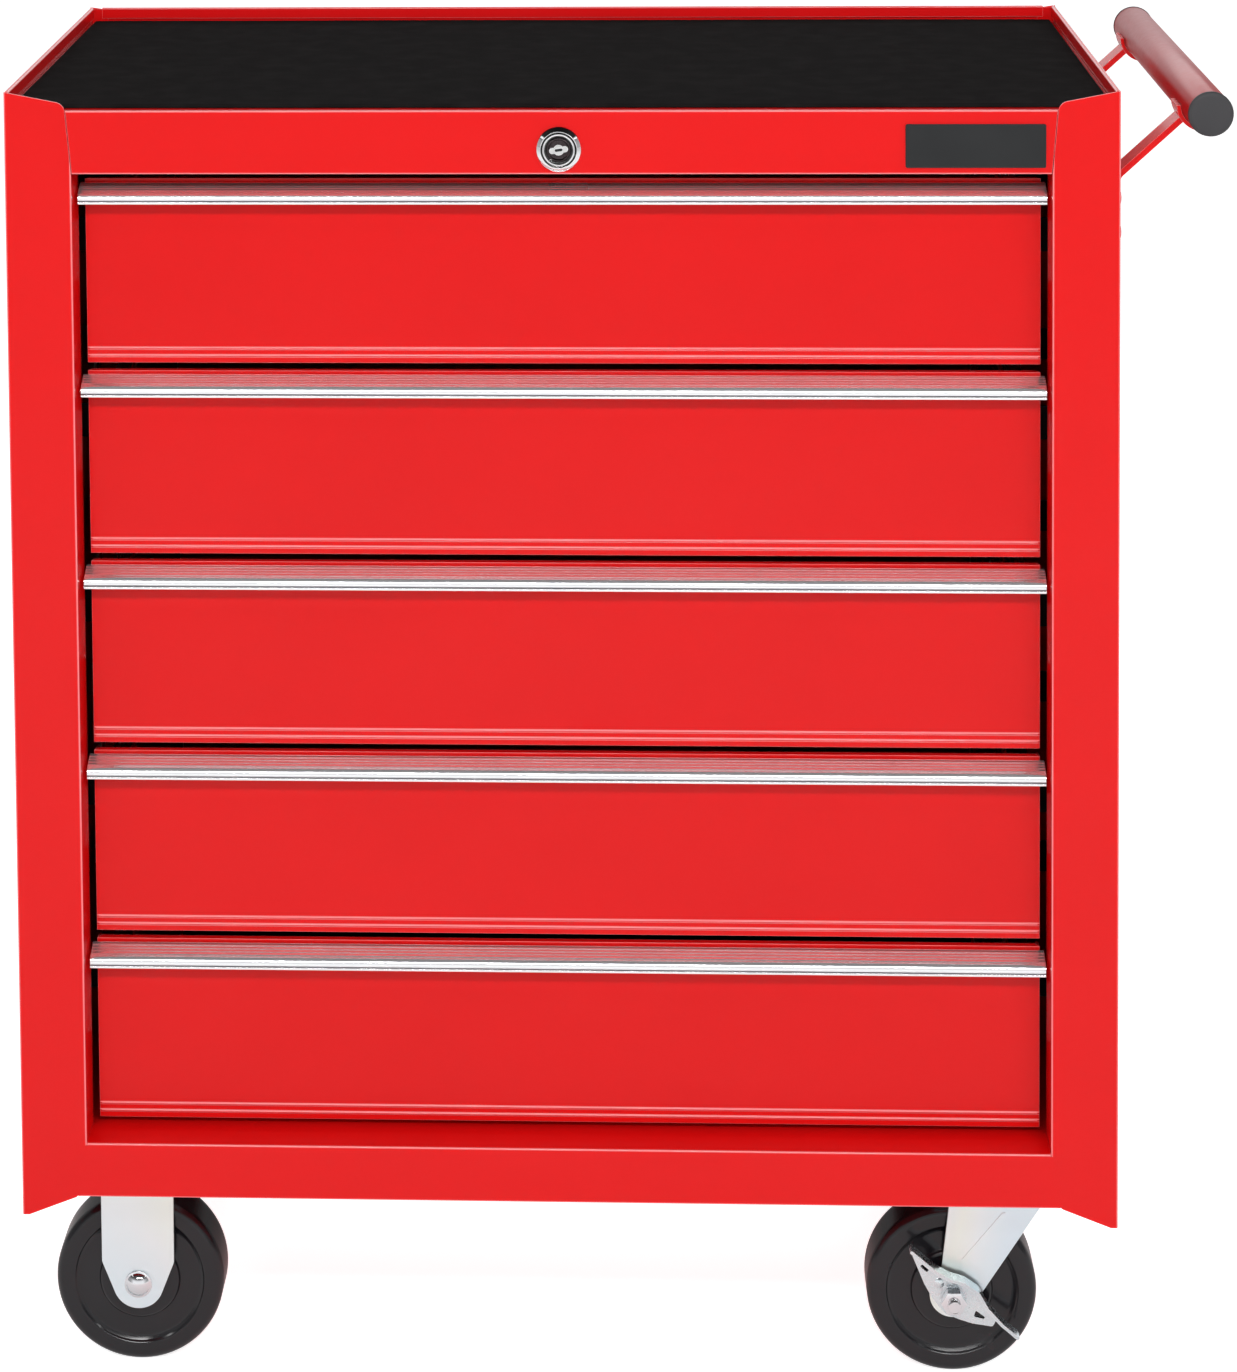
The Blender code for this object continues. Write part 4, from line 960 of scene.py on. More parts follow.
def drawer(index):
    body, node = f"drawer_{index}", f"drawer_box_{index}"
    low, high = place(node)
    middle = (0, (low.y + high.y) / 2, low.z + 30 * MM)
    shell(
        f"drawer_front_{index}", drawer_front(low, high), middle, DRAWER_RED, body, node,
        marks=lambda skin: mark_ribs(skin, low.z),
    )
    tray = drawer_tray(low, high)
    shell(f"drawer_tray_{index}", tray, middle, DRAWER_RED, body, fold_radius=1.6 * MM)
    piece(f"drawer_liner_{index}", drawer_liner(low, high), FOAM, body, sharp=60)
    rivets = drawer_rivets(*place(f"slide_runner_right_{index}"))
    piece(f"slide_rivets_{index}", rivets, STEEL, body)
    node = f"drawer_pull_{index}"
    low, high = place(node)
    pull = prism(pull_section(low, high), "x", low.x, high.x)
    piece(f"ribbed_pull_{index}", pull, CHROME, body, node, bevel=0.12 * MM, sharp=40)
    line = prism(groove_line(low), "x", low.x + 0.2 * MM, high.x - 0.2 * MM)
    piece(f"pull_groove_line_{index}", line, GROOVE_SHADE_METAL, body, sharp=40)


for index in DRAWERS:
    drawer(index)


# ---------------------------------------------------------------- slides

RAIL_OUTER = 275.4 * MM
SLIDE_STEEL = 1.2 * MM


def slide_member(low, high, web, rim, lip):
    """A rolled channel: an upright web at one x, and flanges to another x whose rims curl inward."""
    path = [(rim, high.z - lip), (rim, high.z), (web, high.z), (web, low.z), (rim, low.z), (rim, low.z + lip)]
    path = rounded(path, 1.6 * MM, 3, closed=False)
    return prism(sheet(path if rim < web else path[::-1], SLIDE_STEEL), "y", low.y, high.y)


def slide(index, word, side):
    """Fixed and moving members of one slide, with a bumper at the fixed one's end."""
    node = f"slide_rail_{word}_{index}"
    low, high = place(node)
    near = low.x if side > 0 else high.x
    rail = slide_member(low, high, side * RAIL_OUTER, near, 3.2 * MM)
    stop = side * (RAIL_OUTER - SLIDE_STEEL)
    bumper = rounded(mm(rectangle(-7, -4, 7, 4)), 2 * MM)
    bumper = [(high.y - 12 * MM + y, (low.z + high.z) / 2 + z) for y, z in bumper]
    outer = united(rail, prism(bumper, "x", stop, stop - side * 3 * MM))
    piece(f"slide_outer_{word}_{index}", outer, STEEL, "cabinet", node, sharp=50)
    node = f"slide_runner_{word}_{index}"
    low, high = place(node)
    near, far = (low.x, high.x) if side > 0 else (high.x, low.x)
    runner = slide_member(low, high, near, far, 0.9 * MM)
    piece(f"slide_inner_{word}_{index}", runner, STEEL, f"drawer_{index}", node, sharp=50)


def slide_brackets(word, side):
    """Brackets that tie the slides to the side panel, two for each slide, near-black as painted shade in the
    gaps beside the drawers.
    """
    solids = []
    near, far = side * RAIL_OUTER, side * INSIDE_HALF
    for index in DRAWERS:
        low, high = place(f"slide_rail_{word}_{index}")
        middle = (low.z + high.z) / 2
        for start in (low.y + 45 * MM, high.y - 32 * MM):
            path = rounded([(near, start), (far, start), (far, start + 24 * MM)], 2 * MM, 3, closed=False)
            outline = sheet(path if side > 0 else path[::-1], 1.5 * MM)
            solids.append(prism(outline, "z", middle - 10 * MM, middle + 10 * MM))
    return united(*solids)


for word, side in SIDES:
    brackets = slide_brackets(word, side)
    piece(f"slide_brackets_{word}", brackets, SHADE_DARK_STEEL, "cabinet", sharp=50)
    for index in DRAWERS:
        slide(index, word, side)


# ---------------------------------------------------------------- lock and badge plate

KEYWAY_TILT = math.radians(8)
BEZEL_STEPS = mm([
    (13.0, 0.0), (13.0, -1.0), (12.6, -1.7), (10.7, -3.3), (10.3, -3.5), (10.0, -3.3), (9.9, -2.3),
    (9.5, -2.3), (9.4, -3.1), (9.1, -3.4), (8.4, -3.4), (8.1, -3.1), (8.0, -2.1), (7.1, -2.0),
])
HOOK_FRONT = 309 * MM
HOOK_GAP = 2 * MM
HOOK_DROP = 14 * MM
BAR_STEEL = 2 * MM
BADGE = (196.3 * MM, 728.4 * MM, 275.4 * MM, 753.3 * MM)
BADGE_RIM, BADGE_PROUD = 0.9 * MM, 1.1 * MM


def keyhole(half_length, half_height, start, end):
    """Slot shape with round ends on the lock's axis, nearly level."""
    cos, sin = math.cos(KEYWAY_TILT), math.sin(KEYWAY_TILT)
    ends = half_length - half_height
    outline = arc((ends, 0), half_height, -math.pi / 2, math.pi / 2, 8)
    outline += arc((-ends, 0), half_height, math.pi / 2, 3 * math.pi / 2, 8)
    return prism([(x * cos - z * sin, LOCK_LEVEL + x * sin + z * cos) for x, z in outline], "y", start, end)


def lock():
    """Key lock: a stepped bezel with its barrel, the plug's dished face, the keyhole boss and the cam."""
    low, high = place("lock_housing")
    centre = (0, LOCK_LEVEL)
    back, face = high.y, low.y + 1.2 * MM
    plug_back = place("lock_plug")[1].y
    bezel = [(7.1 * MM, back), (9.5 * MM, back), (9.5 * MM, 0)] + BEZEL_STEPS
    bezel = turned(rounded(bezel, [0, 0, 0] + [0.4 * MM] * len(BEZEL_STEPS), 2), "y", centre, 72)
    piece("lock_bezel", bezel, LOCK_CHROME, "cabinet", "lock_housing", sharp=30)
    dish = [
        (0, plug_back - 6 * MM), (7 * MM, plug_back - 6 * MM), (7 * MM, face), (6.2 * MM, face - 0.3 * MM),
        (5.4 * MM, face + 0.4 * MM), (0, face + 0.6 * MM),
    ]
    plug = turned(rounded(dish, [0, 0, 0.3 * MM, 0.3 * MM, 0.5 * MM, 0], 3), "y", centre, 64)
    plug = combined(plug, (CUT, keyhole(2.2 * MM, 0.75 * MM, face - 3 * MM, face + 7 * MM)))
    piece("lock_plug_face", plug, PLUG_METAL, "lock_plug", "lock_plug", sharp=30)
    boss = combined(
        keyhole(5.5 * MM, 1.8 * MM, face - 0.6 * MM, face + 0.9 * MM),
        (JOIN, round_bar(3.1 * MM, "y", centre, face - 0.8 * MM, face + 0.9 * MM)),
        (CUT, keyhole(2.2 * MM, 0.75 * MM, face - 3 * MM, face + 7 * MM)),
    )
    piece("keyhole_boss", boss, BOSS_CHROME, "lock_plug", bevel=0.25 * MM, sharp=30)
    # Dark insert that fills the keyway: painted shade inside the key slot
    keyway_shade = keyhole(2.18 * MM, 0.73 * MM, face + 0.3 * MM, face + 1 * MM)
    piece("keyway_shade_insert", keyway_shade, PLATE, "lock_plug")
    arm = rounded(mm([(-6, -5), (11, -4), (14, 0), (11, 4), (-6, 5)]), 3 * MM)
    blade = prism([(x, LOCK_LEVEL + z) for x, z in arm], "y", back + 0.3 * MM, back + 2.3 * MM)
    pin = round_bar(2 * MM, "y", (10 * MM, LOCK_LEVEL), back + 1 * MM, plug_back)
    hub = round_bar(6 * MM, "y", centre, plug_back - 6.5 * MM, back + 2.9 * MM)
    piece("lock_cam", united(blade, pin, hub), STEEL, "lock_plug", bevel=0.15 * MM, sharp=40)


def locking_bar():
    """Pressed locking bar: slotted plate at the cam, arm under the top, upright with a hook per drawer."""
    low, high = place("lock_bar")
    half = -low.x

    def strip(path):
        return prism(sheet(path, BAR_STEEL), "x", -half, half)

    spine = [(low.y, high.z), (high.y, high.z), (high.y, low.z)]
    spine = strip(rounded(spine, 4 * MM, 5, closed=False)[::-1])
    steps = []
    for index in DRAWERS:
        tip = place(f"drawer_box_{index}")[0].z + TRAY_RAISE + BACK_WALL + HOOK_GAP
        bend = tip + HOOK_DROP
        hook = [(high.y - BAR_STEEL + 0.5 * MM, bend), (HOOK_FRONT, bend), (HOOK_FRONT, tip)]
        steps.append((JOIN, strip(rounded(hook, 3 * MM, 4, closed=False))))
    corners = rounded(rectangle(low.x, LOCK_LEVEL - 7.5 * MM, high.x, high.z), [3 * MM, 3 * MM, 3 * MM, 0], 4)
    steps.append((JOIN, prism(corners, "y", low.y, low.y + BAR_STEEL)))
    slot = [(x, LOCK_LEVEL + z) for x, z in rounded(mm(rectangle(-3, -2.2, 13, 2.2)), 2 * MM)]
    steps.append((CUT, prism(slot, "y", low.y - BAR_STEEL, low.y + 2 * BAR_STEEL)))
    bar = combined(spine, *steps)
    piece("locking_bar", bar, STEEL, "lock_bar", "lock_bar", bevel=0.3 * MM, sharp=40)


def badge_plate():
    """Blank name plate: a dark plate with a raised rim, nothing on it."""
    left, low, right, high = BADGE
    plate = prism(rounded(rectangle(*BADGE), 1.0 * MM, 3), "y", -BADGE_PROUD, -0.02 * MM)
    inner = rectangle(left + BADGE_RIM, low + BADGE_RIM, right - BADGE_RIM, high - BADGE_RIM)
    pocket = prism(rounded(inner, 0.6 * MM, 3), "y", -2 * BADGE_PROUD, -BADGE_PROUD + 0.3 * MM)
    badge = combined(plate, (CUT, pocket))
    piece("badge_plate_blank", badge, PLATE, "cabinet", bevel=0.15 * MM)


lock()
locking_bar()
badge_plate()


# ---------------------------------------------------------------- push handle

ARM_STEEL = 3.5 * MM
ARM_HALF = 10 * MM
FOOT_HEIGHT = 44 * MM
ARM_AIM = math.radians(222)
SADDLE = (math.radians(180), math.radians(264))


def end_cap(word, centre, inward):
    """Domed plastic cap with its plug inside the tube."""
    node = f"handle_cap_{word}"
    low, high = place(node)
    end = low.y if inward > 0 else high.y
    rim = (high.x - low.x) / 2
    dome_points = [(0, 0), (rim * 0.55, 0.12 * MM), (rim * 0.86, 0.42 * MM), (rim - 0.15 * MM, 1.3 * MM)]
    inside = [(rim, 2.4 * MM), (rim - 0.5 * MM, 2.5 * MM)] + mm([(10.6, 2.5), (10.3, 12), (0, 12)])
    softness = [0, 6 * MM, 3 * MM, 1 * MM, 0.2 * MM, 0.1 * MM, 0, 0, 0]
    outline = rounded(dome_points + inside, softness)
    profile = [(r if r > 0.01 * MM else 0, end + inward * a) for r, a in outline]
    cap = turned(profile, "y", centre, 64)
    piece(f"handle_end_cap_{word}", cap, CAP, "cabinet", node)


def pan_head(centre, x, radius):
    """Low pan-head screw with a cross recess, facing +X, on a thin washer."""
    seat, base, rim = x - 0.1 * MM, x + 0.5 * MM, radius * 1.35
    washer = [(0, seat), (rim, seat), (rim, base), (0, base)]
    washer = turned(rounded(washer, [0, 0, 0.2 * MM, 0], 2), "x", centre, 32)
    profile = [
        (0, base - 0.2 * MM), (radius, base - 0.2 * MM), (radius, base + 0.6 * MM),
        (radius * 0.7, base + 1.1 * MM), (0, base + 1.25 * MM),
    ]
    head = turned(rounded(profile, [0, 0, 0.5 * MM, 2 * MM, 0], 4), "x", centre, 32)
    narrow, reach = 0.55 * MM, radius * 0.55
    steps = [(JOIN, head)]
    for wide, tall in ((narrow, reach), (reach, narrow)):
        outline = rectangle(centre[0] - wide, centre[1] - tall, centre[0] + wide, centre[1] + tall)
        steps.append((CUT, prism(outline, "x", base + 0.5 * MM, base + 4 * MM)))
    return combined(washer, *steps)


def handle_arm(word, centre, tube_radius):
    """Bent flat arm: a foot screwed to the side panel, a slope up to the tube and a saddle round it."""
    node = f"handle_arm_{word}"
    low, high = place(node)
    foot_high, face = low.z + FOOT_HEIGHT, low.x + ARM_STEEL
    middle = (low.y + high.y) / 2
    top = Vector(centre) + Vector((math.cos(ARM_AIM), math.sin(ARM_AIM))) * (tube_radius + 1.2 * MM)
    path = rounded([(face, low.z), (face, foot_high), tuple(top)], [0, 5 * MM, 0], 6, closed=False)
    arm = prism(sheet(path, ARM_STEEL), "y", middle - ARM_HALF, middle + ARM_HALF)
    outer = arc(centre, tube_radius + 2.5 * MM, *SADDLE, 14)
    inner = arc(centre, tube_radius + 0.3 * MM, *SADDLE[::-1], 14)
    saddle = prism(outer + inner, "y", middle - ARM_HALF - 2 * MM, middle + ARM_HALF + 2 * MM)
    tube = round_bar(tube_radius + 0.3 * MM, "y", centre, middle - 40 * MM, middle + 40 * MM, 72)
    solid = combined(arm, (JOIN, saddle), (CUT, tube))
    piece(f"handle_bent_arm_{word}", solid, RED, "cabinet", node, bevel=0.5 * MM)
    heads = [pan_head((middle, z), face, 4.6 * MM) for z in (low.z + 11 * MM, foot_high - 13 * MM)]
    piece(f"handle_screws_{word}", united(*heads), RED, "cabinet", bevel=0.12 * MM, sharp=40)


def push_handle():
    low, high = place("handle_tube")
    centre = ((low.x + high.x) / 2, (low.z + high.z) / 2)
    radius = (high.x - low.x) / 2
    tube = rounded(rectangle(radius - 1.5 * MM, low.y, radius, high.y), 0.4 * MM, 2)
    tube = turned(tube, "y", centre, 72)
    piece("handle_grip_tube", tube, SHADED_HANDLE_RED, "cabinet", "handle_tube", sharp=40)
    for word, inward in (("front", 1), ("rear", -1)):
        end_cap(word, centre, inward)
        handle_arm(word, centre, radius)


push_handle()


# ---------------------------------------------------------------- casters

CASTER_STEEL = 2.5 * MM
LEG_ROUNDING = 0.5 * MM
LEG_INNER, LEG_OUTER = 18.5 * MM, 21 * MM
BOLT_SPOTS = (38.5 * MM, 26.5 * MM)
WHEEL_FACE = mm([
    (5.2, -0.5), (9.5, -0.5), (10.0, -0.9), (13.0, -0.9), (13.6, -0.5), (22.2, -0.5), (23.4, -1.2),
    (24.3, -3.0), (35.2, -3.0), (36.4, -2.7), (38.0, -1.65), (38.8, -0.75), (39.3, -0.4), (40.2, -0.3),
    (43.6, -0.3),
])
LEVER_CREST = mm([
    (-26, 31), (-10.5, 18), (-3, 14), (5.5, 11.5), (13.5, 6), (18.5, -3), (27, -12.5), (37, -21),
])
LEVER_FOOT = mm([
    (25.5, -11.5), (23, -16.3), (11, -14.5), (3, -12), (-4.5, -9), (-11.5, -1), (-17, 9), (-21.5, 20),
])
LEVER_SLOT = [(-19.5, 19.5), (-15.5, 16.0), (-14.2, 17.4), (-18.2, 20.9)]
LEVER_WINDOW = [(13.0, -6.5), (21.0, -12.6), (12.0, -10.4)]


def dome(centre, axis, base, radius, height, outward):
    """Domed head that stands on a base, turned about its axis."""
    angle = 2 * math.atan(height / radius)
    ball = radius / math.sin(angle)
    profile = [(0, base - outward * 0.2 * MM), (radius, base - outward * 0.2 * MM)]
    for share in (angle * (1 - step / 8) for step in range(8)):
        profile.append((ball * math.sin(share), base + outward * (height - ball * (1 - math.cos(share)))))
    return turned(profile + [(0, base + outward * height)], axis, centre, 40)


def hex_nut(centre, axis, start, end, across_flats=13 * MM):
    """Hexagon nut with chamfered corners, from start (its seat) to end."""
    corner = across_flats / math.sqrt(3)
    lift = 1 if end > start else -1
    nut = prism(arc(centre, corner, 0, 2 * math.pi * 5 / 6, 5), axis, start, end)
    top = corner * 1.02
    slope = (corner - across_flats / 2) * 0.6
    cone = [
        (0, start - lift * MM), (top + MM, start - lift * MM), (top + MM, start + lift * 0.2 * MM),
        (top, end - lift * slope), (across_flats / 2 - 0.1 * MM, end), (0, end),
    ]
    beyond = combined(round_bar(3.0, "z", (0, 0), -2.0, 2.0, 8), (CUT, turned(cone, axis, centre, 36)))
    return combined(nut, (CUT, beyond))


def threaded_end(centre, axis, start, end, radius=4 * MM):
    """Bolt end with thread grooves and a chamfer."""
    lift = 1 if end > start else -1
    pitch, depth = 1.0 * MM, 0.35 * MM
    profile = [(0, start), (radius, start)]
    for index in range(int((abs(end - start) - 0.8 * MM) / pitch)):
        at = start + lift * (index + 0.5) * pitch
        flank = lift * 0.2 * pitch
        profile += [(radius, at - flank), (radius - depth, at), (radius, at + flank)]
    profile += [(radius, end - lift * 0.7 * MM), (radius - 0.7 * MM, end), (0, end)]
    return turned(profile, axis, centre, 32)


def nut_and_thread(axle, seat, way):
    """Nut on a seat with the bolt's end beyond it, along y."""
    return [
        hex_nut(axle, "y", seat, seat + way * 6 * MM),
        threaded_end(axle, "y", seat + way * 5.8 * MM, seat + way * 10 * MM),
    ]


def caster_wheel(name, node, body):
    """Solid wheel: rounded tread, a rim step, a shallow recess, a groove and a raised hub on each face."""
    low, high = place(node)
    radius = (high.x - low.x) / 2
    centre = ((low.x + high.x) / 2, (low.z + high.z) / 2)
    middle, half = (low.y + high.y) / 2, (high.y - low.y) / 2
    outer = [(r, half + a) for r, a in WHEEL_FACE]
    edge, bore = 5.0 * MM, 4.3 * MM
    shoulder = arc((radius - edge, half - edge - 0.3 * MM), edge, math.pi / 2, math.radians(8), 8)
    soft = [0.5 * MM] * 8 + [0.8 * MM] * (len(outer) - 8) + [0.5 * MM] * len(shoulder)
    side = [(bore, half - 0.5 * MM)] + rounded(outer + shoulder, soft, 4, closed=False)
    side += [(radius - 0.02 * MM, half - 7 * MM), (radius, half - 11 * MM)]
    profile = [(r, middle + a) for r, a in side + [(r, -a) for r, a in reversed(side)]]
    piece(name, turned(profile, "y", centre, 112), WHEEL, body, node, sharp=30)


def top_plate(low, high):
    """Mounting plate with round corners, in (x, y)."""
    corners = rounded(rectangle(low.x, low.y, high.x, high.y), 8 * MM, 6)
    return prism(corners, "z", high.z - CASTER_STEEL, high.z)


def plate_bolts(base, centre):
    """Bolt heads and washers under a caster plate, one near each corner."""
    parts = []
    for side_x in (-1, 1):
        for side_y in (-1, 1):
            spot = (centre[0] + side_x * BOLT_SPOTS[0], centre[1] + side_y * BOLT_SPOTS[1])
            parts.append(round_bar(6.2 * MM, "z", spot, base + 0.1 * MM, base - MM))
            parts.append(hex_nut(spot, "z", base - MM, base - 5.2 * MM, 10 * MM))
    return united(*parts)


def tangent_foot(axle, radius, left, right, steps):
    """Arc round the axle between the tangents from a point on its left and one on its right."""
    angles = []
    for point, side in ((left, 1), (right, -1)):
        offset = Vector(point) - Vector(axle)
        angles.append(math.atan2(offset.y, offset.x) + side * math.acos(radius / offset.length))
    return arc(axle, radius, angles[0], angles[1] + 2 * math.pi, steps)


def bend_gusset(y, side, top):
    """Rounded inside corner where a leg is bent from the plate, in (y, z)."""
    radius = 5 * MM
    corner = (y + side * 18.7 * MM, top)
    start, end = (0, math.pi / 2) if side > 0 else (math.pi, math.pi / 2)
    return [corner] + arc((corner[0] - side * radius, top - radius), radius, start, end, 6)


def legs(outline, y, top, left, right):
    """Both legs of a bracket or fork as steps to join, with the bends that tie them to the plate."""
    steps = []
    for side in (-1, 1):
        steps.append((JOIN, prism(outline, "y", y + side * LEG_INNER, y + side * LEG_OUTER)))
        steps.append((JOIN, prism(bend_gusset(y, side, top), "x", left, right)))
    return steps


def fixed_bracket(word, outward):
    """Pressed rigid bracket: a plate and two legs that taper to a round end at the axle."""
    node = f"fixed_caster_bracket_{word}"
    low, high = place(node)
    wheel_low, wheel_high = place(f"wheel_fixed_{word}")
    x, y, half = (low.x + high.x) / 2, (low.y + high.y) / 2, 21.5 * MM
    axle = (x, (wheel_low.z + wheel_high.z) / 2)
    shoulder, top = axle[1] + 13.5 * MM, high.z - CASTER_STEEL / 2
    left, right = (x - half, shoulder), (x + half, shoulder)
    foot = tangent_foot(axle, 15 * MM, left, right, 28)
    outline = [right, (right[0], top), (left[0], top), left] + foot
    outline = rounded(outline, [5 * MM, 0, 0, 5 * MM] + [0] * len(foot), 5)
    solid = combined(top_plate(low, high), *legs(outline, y, top, x - half + MM, x + half - MM))
    piece(f"rigid_bracket_{word}", solid, ZINC, "cabinet", node, bevel=LEG_ROUNDING)
    bolts = plate_bolts(high.z - CASTER_STEEL, (x, y))
    piece(f"rigid_plate_bolts_{word}", bolts, ZINC, "cabinet", bevel=0.1 * MM)
    head, inner = y + outward * 21.3 * MM, y - outward * 21.3 * MM
    collar = mm([(0, -0.2), (8.2, -0.2), (8.2, 0.5), (7.8, 0.8), (0, 0.8)])
    parts = [
        turned([(r, head + outward * a) for r, a in collar], "y", axle, 40),
        dome(axle, "y", head + outward * 0.8 * MM, 7 * MM, 3.4 * MM, outward),
        *nut_and_thread(axle, inner, -outward),
        round_bar(4 * MM, "y", axle, head, inner, 24),
    ]
    node = f"fixed_caster_axle_{word}"
    piece(f"rigid_axle_bolt_{word}", united(*parts), BOLT, "cabinet", node, bevel=0.12 * MM)


def swivel_plate(word):
    """Plate of a swivel caster with its pressed upper race and the riveted kingpin."""
    node = f"swivel_plate_{word}"
    low, high = place(node)
    centre = ((low.x + high.x) / 2, (low.y + high.y) / 2)
    crown_top = place(f"swivel_fork_{word}")[1].z
    base = high.z - CASTER_STEEL
    under = base + 0.2 * MM
    ring = [
        (6 * MM, crown_top + 0.6 * MM), (22 * MM, crown_top + 0.6 * MM), (26.4 * MM, crown_top + 2.2 * MM),
        (27.6 * MM, crown_top + 5.5 * MM), (29.5 * MM, under), (6 * MM, under),
    ]
    ring = rounded(ring, [0, 2 * MM, 2.5 * MM, 1.5 * MM, 0, 0], 4)
    solid = combined(top_plate(low, high), (JOIN, turned(ring, "z", centre, 72)))
    piece(f"swivel_top_plate_{word}", solid, ZINC, "cabinet", node, bevel=LEG_ROUNDING)
    rivet = mm([(0, 0.1), (5.5, 0), (8.2, 0.9), (8.9, 2.2), (8.9, 3.2), (6.2, 3.2)])
    rivet = [(r, low.z + a) for r, a in rivet] + [(6.2 * MM, crown_top + 2 * MM), (0, crown_top + 2 * MM)]
    kingpin = turned(rounded(rivet, [0, MM, MM, 0.3 * MM, 0.2 * MM, 0, 0, 0], 3), "z", centre, 40)
    piece(f"kingpin_{word}", kingpin, ZINC, "cabinet")
    bolts = plate_bolts(base, centre)
    piece(f"swivel_plate_bolts_{word}", bolts, ZINC, "cabinet", bevel=0.1 * MM)
    return centre


def swivel_fork(word, x, y, outward):
    """Pressed fork: a crown with round corners and two raked legs with a stiffening crease."""
    node, body = f"swivel_fork_{word}", f"caster_fork_{word}"
    crown_top = place(node)[1].z
    wheel_low, wheel_high = place(f"wheel_swivel_{word}")
    axle = ((wheel_low.x + wheel_high.x) / 2, (wheel_low.z + wheel_high.z) / 2)
    top = crown_top - CASTER_STEEL / 2
    left, right = x - 31.5 * MM, x + 25 * MM
    left_low = (x - 36.5 * MM, axle[1] + 16 * MM)
    foot = tangent_foot(axle, 13.5 * MM, left_low, (right, top), 24)
    outline = rounded([(right, top), (left, top), left_low] + foot, [0, 0, 5 * MM] + [0] * len(foot), 4)
    corners = rounded(rectangle(left, y - LEG_OUTER, right, y + LEG_OUTER), 10 * MM, 6)
    crown = prism(corners, "z", crown_top - CASTER_STEEL, crown_top)
    crease = [
        (x - 1.0 * MM, top - 9 * MM), (x + 1.0 * MM, top - 9 * MM),
        (axle[0] + 7.4 * MM, axle[1] + 22 * MM), (axle[0] + 5.6 * MM, axle[1] + 22 * MM),
    ]
    steps = legs(outline, y, top, x - 27 * MM, x + 19 * MM)
    for number, side in ((2, -1), (5, 1)):
        steps.insert(number, (JOIN, prism(crease, "y", y + side * 20.5 * MM, y + side * 21.45 * MM)))
    bore = round_bar(6.6 * MM, "z", (x, y), 60 * MM, 130 * MM)
    solid = combined(crown, *steps, (CUT, bore))
    piece(f"raked_fork_{word}", solid, ZINC, body, node, bevel=LEG_ROUNDING)
    swivel_axle(word, axle, y, outward, body)
    brake_lever(word, axle, y, outward)


def swivel_axle(word, axle, y, outward, body):
    """Axle bolt of a swivel fork, with the spacer that keeps the lever off the leg."""
    head, nut = y - outward * 21.3 * MM, y + outward * 26.3 * MM
    spacer = mm(rectangle(4, 21.3, 8, 23.7))
    parts = [
        hex_nut(axle, "y", head, head - outward * 6 * MM),
        turned([(r, y + outward * a) for r, a in spacer], "y", axle, 40),
        round_bar(4 * MM, "y", axle, head, nut, 24),
        *nut_and_thread(axle, nut, outward),
    ]
    node = f"swivel_axle_{word}"
    piece(f"swivel_axle_bolt_{word}", united(*parts), BOLT, body, node, bevel=0.12 * MM)


def brake_lever(word, axle, y, outward):
    """Pressed side lever: a plate with slots and a stiffening bump, and a foot tread along its crest."""
    def near(points):
        return [(axle[0] + dx, axle[1] + dz) for dx, dz in points]

    inner = y + outward * 24 * MM
    outline = rounded(near(LEVER_CREST[:-2] + LEVER_FOOT), 1.5 * MM, 3)
    plate = prism(outline, "y", inner, inner + outward * 2 * MM)
    tread = sheet(rounded(near(LEVER_CREST), 3 * MM, 3, closed=False), 1.8 * MM)
    steps = [
        (JOIN, prism(tread, "y", inner, inner + outward * 9 * MM)),
        (CUT, round_bar(4.3 * MM, "y", axle, y, y + outward * 60 * MM)),
    ]
    for shape, softness in ((LEVER_SLOT, 0.7), (LEVER_WINDOW, 0.8)):
        opening = near(mm(rounded(shape, softness)))
        steps.append((CUT, prism(opening, "y", inner - outward * 3 * MM, inner + outward * 5 * MM)))
    spot = near(mm([(-8.5, 9.5)]))[0]
    boss = dome(spot, "y", inner + outward * 2 * MM, 3.2 * MM, 1.1 * MM, outward)
    lever = united(combined(plate, *steps), boss)
    body, node = f"brake_{word}", f"brake_lever_{word}"
    piece(f"side_brake_lever_{word}", lever, LEVER_ZINC, body, node, bevel=0.4 * MM)


for word, outward in (("front", -1), ("rear", 1)):
    fixed_bracket(word, outward)
    caster_wheel(f"caster_wheel_left_{word}", f"wheel_fixed_{word}", f"fixed_wheel_{word}")
    swivel_fork(word, *swivel_plate(word), outward)
    caster_wheel(f"caster_wheel_right_{word}", f"wheel_swivel_{word}", f"swivel_wheel_{word}")


# ---------------------------------------------------------------- stage, light and camera

# World brightness over its height, 0 straight down and 1 straight up, and over how far aside it comes from
SKY = ((0.0, 0.80), (0.5, (0.97, 0.97, 0.98)), (0.64, (0.76, 0.76, 0.77)), (0.80, 0.26), (1.0, 0.08))
SIDE_FLAGS = ((0.0, 1.0), (0.62, 1.0), (0.90, 0.36))
WORLD_STRENGTH = 1.16
# Name, place, aim, size and power of the area lights
SOFT_BOXES = (
    ("front_strip", (0.25, -2.3, 1.95), (0.1, 0, 0.5), (2.65, 0.2), 38),
    ("left_box", (-2.5, -0.95, 2.1), (0, 0, 0.5), (1.2, 0.26), 9),
    ("right_box", (2.5, -0.95, 2.1), (0, 0, 0.5), (1.2, 0.26), 9),
    ("back_light", (0, 2.2, 2.0), (0, 0, 0.4), (2.0, 0.8), 20),
)
CAMERA_PLACE = (50.05 * MM, -2044.39 * MM, 1123.5 * MM)
CAMERA_LENS = 95.36
CAMERA_PITCH, CAMERA_YAW, CAMERA_ROLL = math.radians(3.8022), math.radians(-2.5843), math.radians(-0.50605)
CAMERA_SHIFT = (("shift_x", 0.1005), ("shift_y", -0.7089))


